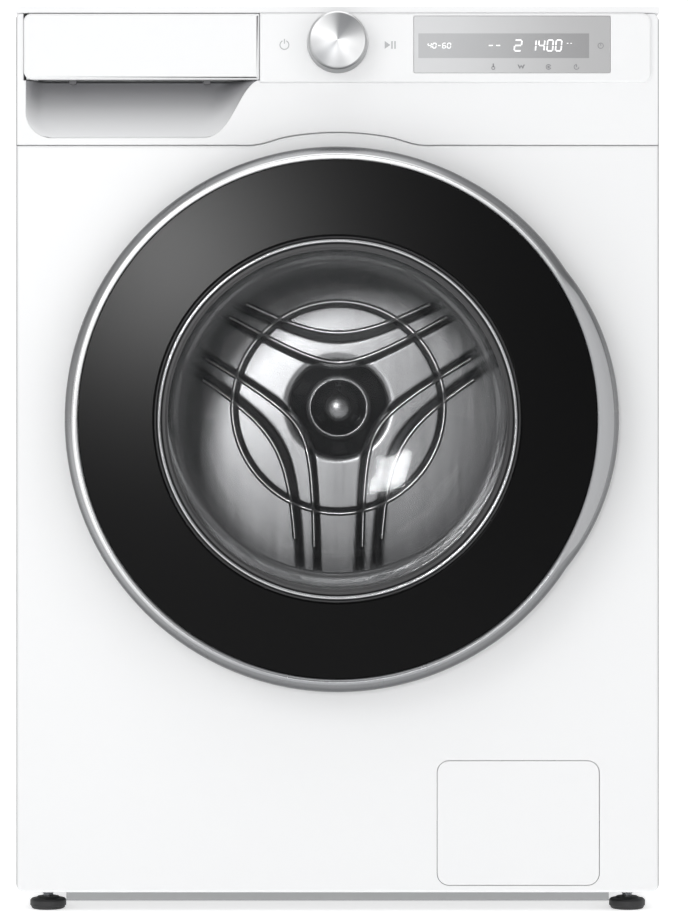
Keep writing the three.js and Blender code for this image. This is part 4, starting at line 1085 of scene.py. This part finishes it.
def door_bowl():
    """Clear where it is looked straight through, and brighter where it is seen edge on."""
    finish = Finish("bowl_glass", (0.34, 0.35, 0.355), 0.06, 0.35)
    facing = finish.node("ShaderNodeLayerWeight", inputs={"Blend": 0.5}, out="Facing")
    grazing = facing ** 3.2
    finish.feed("Alpha", grazing * 0.6 + 0.13)
    finish.feed("Base Color", finish.blend(grazing, (0.07, 0.072, 0.075), (0.5, 0.51, 0.52)))
    finish.feed("Roughness", finish.noise(3, 1) * 0.03 + 0.045)
    front, back = bowl_low.y, bowl_high.y
    deep = back - front
    outline = [(152 * mm, 0.4 * mm), (153 * mm, 0), (172 * mm, 0), (172.5 * mm, 0.8 * mm),
               (172.5 * mm, 4.5 * mm), (160 * mm, 7.5 * mm), (157 * mm, 11 * mm), (155 * mm, 35 * mm),
               (152.5 * mm, 60 * mm), (148.5 * mm, 82 * mm), (144.6 * mm, 98 * mm), (139 * mm, 110.5 * mm),
               (131.5 * mm, 118.5 * mm), (121 * mm, 123 * mm), (98 * mm, 126.5 * mm), (60 * mm, 129.6 * mm),
               (0, deep), (0, deep - 5 * mm), (60 * mm, deep - 6.4 * mm), (98 * mm, deep - 9.5 * mm),
               (118 * mm, deep - 13 * mm), (128 * mm, deep - 17.5 * mm), (135 * mm, deep - 25 * mm),
               (140.5 * mm, deep - 38 * mm), (144.5 * mm, 78 * mm), (148 * mm, 58 * mm), (150 * mm, 35 * mm),
               (151.4 * mm, 10 * mm)]
    bowl = turned("door_bowl_glass", outline, (0, front, DOOR_Z), (0, 1, 0), 160, 70)
    keep(bowl, finish, "door", ["door_bowl"])


door_bowl()

# ---- Door seal ----
# A grey rubber bellows from the mouth of the front panel to the collar of the tub. Its front edge
# stays with the cabinet and its rear edge moves with the tub, so it bends between the two.

tub_low, tub_high = corners("tub_front")
DRUM_Z = (tub_low.z + tub_high.z) / 2


def door_seal():
    """One turned section that climbs from the door's axis to the drum's."""
    seal = surface("seal_rubber", (0.16, 0.163, 0.168), 0.42, grain=1000, relief=0.12, drift=0.05)
    y0 = panel_low.y
    outline = [
        (174, 1.6), (191, 1.6), (192, 2.6), (192, 5), (186, 6.4), (178.4, 8), (176.6, 12), (176.6, 17),
        (180, 25), (186, 33), (189, 38), (187.5, 42), (180, 45), (178.6, 48), (182, 52), (187, 57),
        (188, 62), (188, 90), (186.2, 90), (186.2, 62), (184.5, 58.6), (179, 54), (175.8, 49),
        (176.8, 44.4), (183, 41.2), (185.6, 39), (184, 35.6), (178, 29.6), (171, 27.8), (162, 26.4),
        (160.8, 25.2), (160.6, 22.6), (162.6, 21.6), (170, 19.8), (173.2, 17), (173.4, 8),
    ]
    rows = []
    for turn in angles(120):
        row = []
        for r, y in outline:
            climb = smooth((y - 34) / 26)
            row.append((
                r * mm * math.cos(turn), y0 + y * mm,
                DOOR_Z + (DRUM_Z - DOOR_Z) * climb + r * mm * math.sin(turn),
            ))
        rows.append(row)
    piece = from_rows("door_seal_bellows", rows, closed_columns=True, sharp=60)
    keep(piece, seal, None, ["door_gasket"])
    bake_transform(piece)


door_seal()

# ---- Drum ----
# Stainless sheet: a rolled and perforated shell with a rolled-in mouth, and a pressed back wall
# with a dome over the shaft and a three-armed star. Three hollow lifters are clipped to the shell.

shell_low, shell_high = corners("drum_shell")
DRUM_R = shell_high.x
DRUM_FRONT_Y = shell_low.y
DRUM_BACK_Y = shell_high.y
WALL_Y = DRUM_BACK_Y - 3 * mm

# Painted shade: this steel is much darker than bare stainless, standing in for the shade inside the drum; the
# brushed streaks are its own grain.
stainless = Finish("stainless", (0.5, 0.505, 0.515), 0.24, 1.0)
brushed = stainless.noise(260, 4, (1, 0.04, 1))
stainless.feed("Base Color", stainless.blend(brushed, (0.24, 0.243, 0.25), (0.36, 0.364, 0.372)))
stainless.feed("Roughness", brushed * 0.12 + 0.17)
stainless.bump(brushed, 0.05)


def drum_shell():
    """The mouth is rolled in at the front, and two beads stiffen the wall."""
    outline = [
        (167, 8), (164.4, 6), (165.4, 2.4), (168, 0.6), (172, 0), (195, 1.5), (199, 4), (205, 4.4),
        (228, 7), (236, 11), (241, 17), (243, 25), (243, 100), (242.2, 104), (243, 108), (243, 180),
        (242.2, 184), (243, 188), (243, 288), (241.4, 288), (241.4, 26), (239.4, 18.6), (234.6, 12.8),
        (226, 9), (205, 6.2), (198, 5.8), (194, 3.4), (172, 2), (168.6, 3.4),
    ]
    outline = [(r * mm, y * mm) for r, y in outline]
    shell = turned("drum_shell_rolled", outline, (0, DRUM_FRONT_Y, DRUM_Z), (0, 1, 0), 180, 28)
    keep(shell, stainless, "drum", ["drum_shell"])


WALL_R = 241.4 * mm
HOLE_ROWS = 16
HOLES_AROUND = 100
HOLE_PITCH = 15 * mm


def drum_holes():
    """The holes show as small countersinks on the inside of the shell, closed and coloured near black as
    painted shade for the open holes.
    """
    dark = surface("drum_hole_painted_shade", (0.012, 0.012, 0.013), 0.5, 0.3, grain=800, relief=0.05)
    bm = bmesh.new()
    for row in range(HOLE_ROWS):
        y = DRUM_FRONT_Y + 38 * mm + row * HOLE_PITCH
        for column in range(HOLES_AROUND):
            turn = (column + (row % 2) * 0.5) / HOLES_AROUND * math.tau
            from_lifter = ((turn - math.pi / 2 + math.pi / 3) % (math.tau / 3)) - math.pi / 3
            if abs(from_lifter) < 0.2:
                continue
            out = Vector((math.cos(turn), 0, math.sin(turn)))
            side = Vector((-math.sin(turn), 0, math.cos(turn)))
            middle = Vector((0, y, DRUM_Z)) + out * WALL_R
            rings = []
            for r, rise in ((2.3, 0.05), (1.7, 0.7)):
                rings.append([
                    bm.verts.new(middle - out * rise * mm + side * r * mm * math.cos(a)
                                 + Vector((0, r * mm * math.sin(a), 0)))
                    for a in angles(8)
                ])
            for i in range(8):
                j = (i + 1) % 8
                bm.faces.new((rings[0][i], rings[0][j], rings[1][j], rings[1][i]))
            bm.faces.new(rings[1])
            bm.faces.new(rings[0][::-1])
    bmesh.ops.recalc_face_normals(bm, faces=bm.faces)
    keep(mesh_piece("drum_shell_holes", bm, 30), dark, "drum")


STAR_INNER = 23 * mm
STAR_OUTER = 38 * mm
CIRCLE_R = 112 * mm
HUB_R = 27 * mm


def star_size(x, z):
    """Grows from the middle of the star's arms outwards; the star's edges lie at one value."""
    r = math.hypot(x, z)
    to_arms = sorted(
        abs(x * math.sin(a) - z * math.cos(a)) if x * math.cos(a) + z * math.sin(a) > 0 else r
        for a in (math.radians(30), math.radians(150), math.radians(270))
    )
    near, far = max(to_arms[0], 1e-5), max(to_arms[1], 1e-5)
    return (near ** -1.18 + far ** -1.18) ** (-1 / 1.18)


def star_depth(x, z):
    """How far the back wall stands towards the door at a place, measured from its rim."""
    r = math.hypot(x, z)
    f = star_size(x, z)
    rise = 3 * mm * smooth((STAR_INNER - f) / (5 * mm)) + 3 * mm * smooth((STAR_OUTER - f) / (6 * mm))
    rise += 2 * mm * smooth((CIRCLE_R - r) / (6 * mm))
    dish = smooth((58 * mm - r) / (30 * mm))
    rise = rise * (1 - dish) - 3 * mm * dish
    dome = 0
    if r < HUB_R:
        dome = 12 * mm * math.sqrt(max(0, 1 - (r / HUB_R) ** 2))
    return rise + dome


def drum_back():
    """A round grid of points set forwards by the star, the circle and the dome."""
    rows = []
    rim = DRUM_R - 2.4 * mm
    radii = [0.5 * mm + 2.0 * mm * i for i in range(60)] + [122 * mm + 4.2 * mm * i for i in range(28)]
    radii = [r for r in radii if r < rim] + [rim]
    for r in radii:
        row = []
        for turn in angles(300):
            x, z = r * math.cos(turn), r * math.sin(turn)
            hold = smooth((rim - r) / (14 * mm))
            row.append((x, WALL_Y - star_depth(x, z) * hold, DRUM_Z + z))
        rows.append(row)
    piece = from_rows("drum_back_pressing", rows, sharp=180)
    close_holes(piece, lambda edge: math.hypot(edge.verts[0].co.x, edge.verts[0].co.z - DRUM_Z) < 2 * mm)
    wall = piece.modifiers.new("sheet", "SOLIDIFY")
    wall.thickness = 0.9 * mm
    faces_front = sum(p.normal.y * p.area for p in piece.data.polygons) < 0
    wall.offset = -1 if faces_front else 1
    keep(piece, stainless_back, "drum", ["drum_back"])


# Painted shade: the back wall's steel is likewise much darker than bare stainless, for the shade inside the
# drum; the streaks are its own grain.
stainless_back = Finish("stainless_pressed", (0.5, 0.505, 0.515), 0.22, 1.0)
grain = stainless_back.noise(160, 4, (1, 1, 0.05))
stainless_back.feed("Base Color", stainless_back.blend(grain, (0.25, 0.253, 0.26), (0.36, 0.364, 0.372)))
stainless_back.feed("Roughness", grain * 0.1 + 0.16)
stainless_back.bump(grain, 0.03)


def ridge_line(name, places, closed):
    """A narrow bead pressed along a line on the back wall, in a much brighter copy of the steel as a painted
    highlight.
    """
    rows = []
    count = len(places)
    for i, (x, z) in enumerate(places):
        before = places[(i - 1) % count] if closed or i else places[0]
        after = places[(i + 1) % count] if closed or i < count - 1 else places[-1]
        along = Vector((after[0] - before[0], 0, after[1] - before[1])).normalized()
        side = Vector((along.z, 0, -along.x))
        middle = Vector((x, WALL_Y - star_depth(x, z) + 0.5 * mm, DRUM_Z + z))
        rows.append([
            middle + side * 2.6 * mm * math.cos(a) - Vector((0, 2.3 * mm * math.sin(a), 0))
            for a in angles(10)
        ])
    piece = from_rows(name, rows, closed_columns=closed, caps=not closed, sharp=60)
    keep(piece, ridge_painted_highlight, "drum")


def star_ridges():
    """Two beads along each side of the star, found by halving, and one round the circle."""
    for sector, middle in enumerate((90, 210, 330)):
        out = Vector((math.cos(math.radians(middle)), math.sin(math.radians(middle))))
        across = Vector((-out.y, out.x))
        for line, level in enumerate((STAR_INNER, STAR_OUTER)):
            places = []
            for step in range(61):
                v = (-1 + 2 * step / 60) * 132 * mm
                start, end = 0.0, 0.3
                for _ in range(40):
                    u = (start + end) / 2
                    place = out * u + across * v
                    inside = star_size(*place) < level or place.dot(out) < abs(v) * 0.577
                    start, end = (u, end) if inside else (start, u)
                place = out * start + across * v
                if place.length < 150 * mm:
                    places.append(tuple(place))
            ridge_line(f"drum_star_ridge_{sector + 1}_{line + 1}", places, False)
    circle = arc(0, 0, CIRCLE_R, 0, 360 - 360 / 150, 149)
    ridge_line("drum_back_circle", circle, True)


# Painted highlight: a near-white copy of the drum's steel, so that the beads read as lit lines.
ridge_painted_highlight = surface("ridge_painted_highlight", (0.92, 0.925, 0.935), 0.24, 1.0, grain=500, relief=0.03, drift=0.05)


def lifter(node, turn):
    """Lofted along the drum: a sloping nose at the front, a flat ridge and a steep tail."""
    foot = DRUM_R - 2.6 * mm
    y0, y1 = (corner.y for corner in corners(node))
    rows = []
    for step in range(37):
        t = step / 36
        nose = smooth(t / 0.3)
        tail = smooth((1 - t) / 0.1)
        high_now = (4 + 48 * nose * tail) * mm
        ridge = (24 - 8 * t) * mm * (0.5 + 0.5 * nose)
        base = (43 - 6 * t) * mm
        row = []
        for k in range(17):
            u = -1 + 2 * k / 16
            if abs(u) < 0.34:
                x = u / 0.34 * ridge
                up = high_now - 1.2 * mm * (u / 0.34) ** 2
            else:
                s = (abs(u) - 0.34) / 0.66
                x = math.copysign(ridge + (base - ridge) * (s ** 0.9), u)
                up = (high_now - 1.2 * mm) * (1 - smooth(s) ** 0.8)
            rise = math.sqrt(foot ** 2 - x ** 2) - up
            place = Vector((x, y0 + (y1 - y0) * t, rise))
            turned_place = Matrix.Rotation(turn, 3, "Y") @ place
            row.append(turned_place + Vector((0, 0, DRUM_Z)))
        rows.append(row)
    piece = from_rows(f"{node}_moulding", rows, closed_rows=False, sharp=42)
    close_holes(piece)
    piece.data.set_sharp_from_angle(angle=math.radians(42))
    keep(piece, lifter_finish, "drum", [node])


lifter_finish = surface("lifter_grey", (0.36, 0.365, 0.372), 0.26, 0.55, grain=900, relief=0.03, drift=0.04)
drum_shell()
drum_holes()
drum_back()
star_ridges()
for index in range(3):
    lifter(f"drum_lifter_{index + 1}", index * math.tau / 3)

# ---- Everything behind the panels ----
# These parts keep their CAD shapes. Each is finished as its real material and its moulded,
# cast or machined edges are softened.

black_plastic = surface("black_plastic", (0.028, 0.028, 0.03), 0.45, grain=1300, relief=0.18, drift=0.08)
tub_plastic = surface("tub_plastic", (0.50, 0.505, 0.51), 0.55, grain=700, relief=0.2, drift=0.05)
concrete = surface("cast_concrete", (0.36, 0.35, 0.335), 0.9, grain=380, relief=0.7, drift=0.2)
cast_alloy = surface("cast_alloy", (0.46, 0.465, 0.475), 0.5, 1.0, grain=900, relief=0.35, drift=0.08)
ground_steel = surface("ground_steel", (0.56, 0.565, 0.575), 0.22, 1.0, grain=1500, relief=0.05, drift=0.05)
hose_rubber = surface("hose_rubber", (0.03, 0.03, 0.031), 0.6, grain=1100, relief=0.25, drift=0.1)
board = surface("board_green", (0.02, 0.13, 0.05), 0.4, grain=600, relief=0.12, drift=0.2)
valve_white = surface("valve_white", (0.66, 0.665, 0.67), 0.42, grain=1200, relief=0.12, drift=0.02)

FINISHES = {
    black_plastic: (
        ["knob_encoder", "cord_gland", "damper_cylinder_left", "damper_cylinder_right", "drive_motor",
         "drain_pump"], 0.8,
    ),
    tub_plastic: (["tub_front", "tub_rear", "drain_outlet", "drain_filter"], 0.8),
    concrete: (["counterweight_top", "counterweight_front"], 3),
    cast_alloy: (["drum_spider", "drum_pulley"], 0.7),
    ground_steel: (
        ["door_hinge_pin", "damper_rod_left", "damper_rod_right", "heater", "bearing_front",
         "bearing_rear", "motor_pulley"], 0.3,
    ),
    plated: (["door_hinge_bracket", "door_hinge_leaf", "latch_hook", "gasket_clamp"], 0.3),
    hose_rubber: (["drive_belt"], 0.3),
    board: (["control_board"], 0.3),
    valve_white: (["inlet_valve", "door_lock"], 0.8),
}
for finish, (names, edge) in FINISHES.items():
    refinish(names, finish, edge * mm)

# ---- Suspension springs ----
# Wound zinc plated wire, hooked over a hanger on the side panel and under a lug on the tub. The
# upper end stays with the cabinet and the lower end moves with the tub.


def suspension_spring(side):
    """A coil of 14 turns of round wire."""
    lo, hi = corners(f"suspension_spring_{side}")
    middle = (lo + hi) / 2
    wire = 1.7 * mm
    r = (hi.x - lo.x) / 2 - wire - 0.2 * mm
    steps = 420
    coils = 14
    rows = []
    points = []
    for step in range(steps + 1):
        t = step / steps
        angle = t * coils * math.tau
        z = lo.z + wire + (hi.z - lo.z - 2 * wire) * t
        points.append(Vector((middle.x + r * math.cos(angle), middle.y + r * math.sin(angle), z)))
    for i, point in enumerate(points):
        along = (points[min(i + 1, steps)] - points[max(i - 1, 0)]).normalized()
        out = Vector((point.x - middle.x, point.y - middle.y, 0)).normalized()
        up = along.cross(out)
        rows.append([
            point + (out * math.cos(a) + up * math.sin(a)) * wire for a in angles(8)
        ])
    piece = from_rows(f"suspension_spring_{side}_coil", rows, caps=True, sharp=60)
    keep(piece, plated, None, [f"suspension_spring_{side}"])
    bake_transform(piece)


suspension_spring("left")
suspension_spring("right")

# ---- Sump hose ----
# A rubber bellows hose from the tub's sump down to the pump. Its lower end stays on the pump and
# its upper end moves with the tub.

hose_low, hose_high = corners("sump_hose")


def sump_hose():
    """A corrugated wall with plain ends, in a gentle S."""
    r = 11.6 * mm
    room = 13 * mm
    x0, y0 = hose_low.x + room, hose_high.y - room
    x1, y1 = hose_high.x - room, hose_low.y + room
    rows = []
    steps = 72
    for step in range(steps + 1):
        t = step / steps
        bend = smooth((t - 0.12) / 0.72)
        middle = Vector((x1 + (x0 - x1) * bend, y1 + (y0 - y1) * bend,
                         hose_low.z + (hose_high.z - hose_low.z - 12 * mm) * t))
        wave = 0.5 - 0.5 * math.cos(step * math.pi / 2)
        size = r if step < 5 or step > steps - 5 else r - 2.2 * mm + 2.6 * mm * wave
        rows.append([
            middle + Vector((size * math.cos(a), size * math.sin(a), 0))
            for a in angles(28)
        ])
    piece = from_rows("sump_hose_bellows", rows, sharp=80)
    wall = piece.modifiers.new("wall", "SOLIDIFY")
    wall.thickness = 1.4 * mm
    wall.offset = 0
    keep(piece, hose_rubber, None, ["sump_hose"])
    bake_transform(piece)


sump_hose()
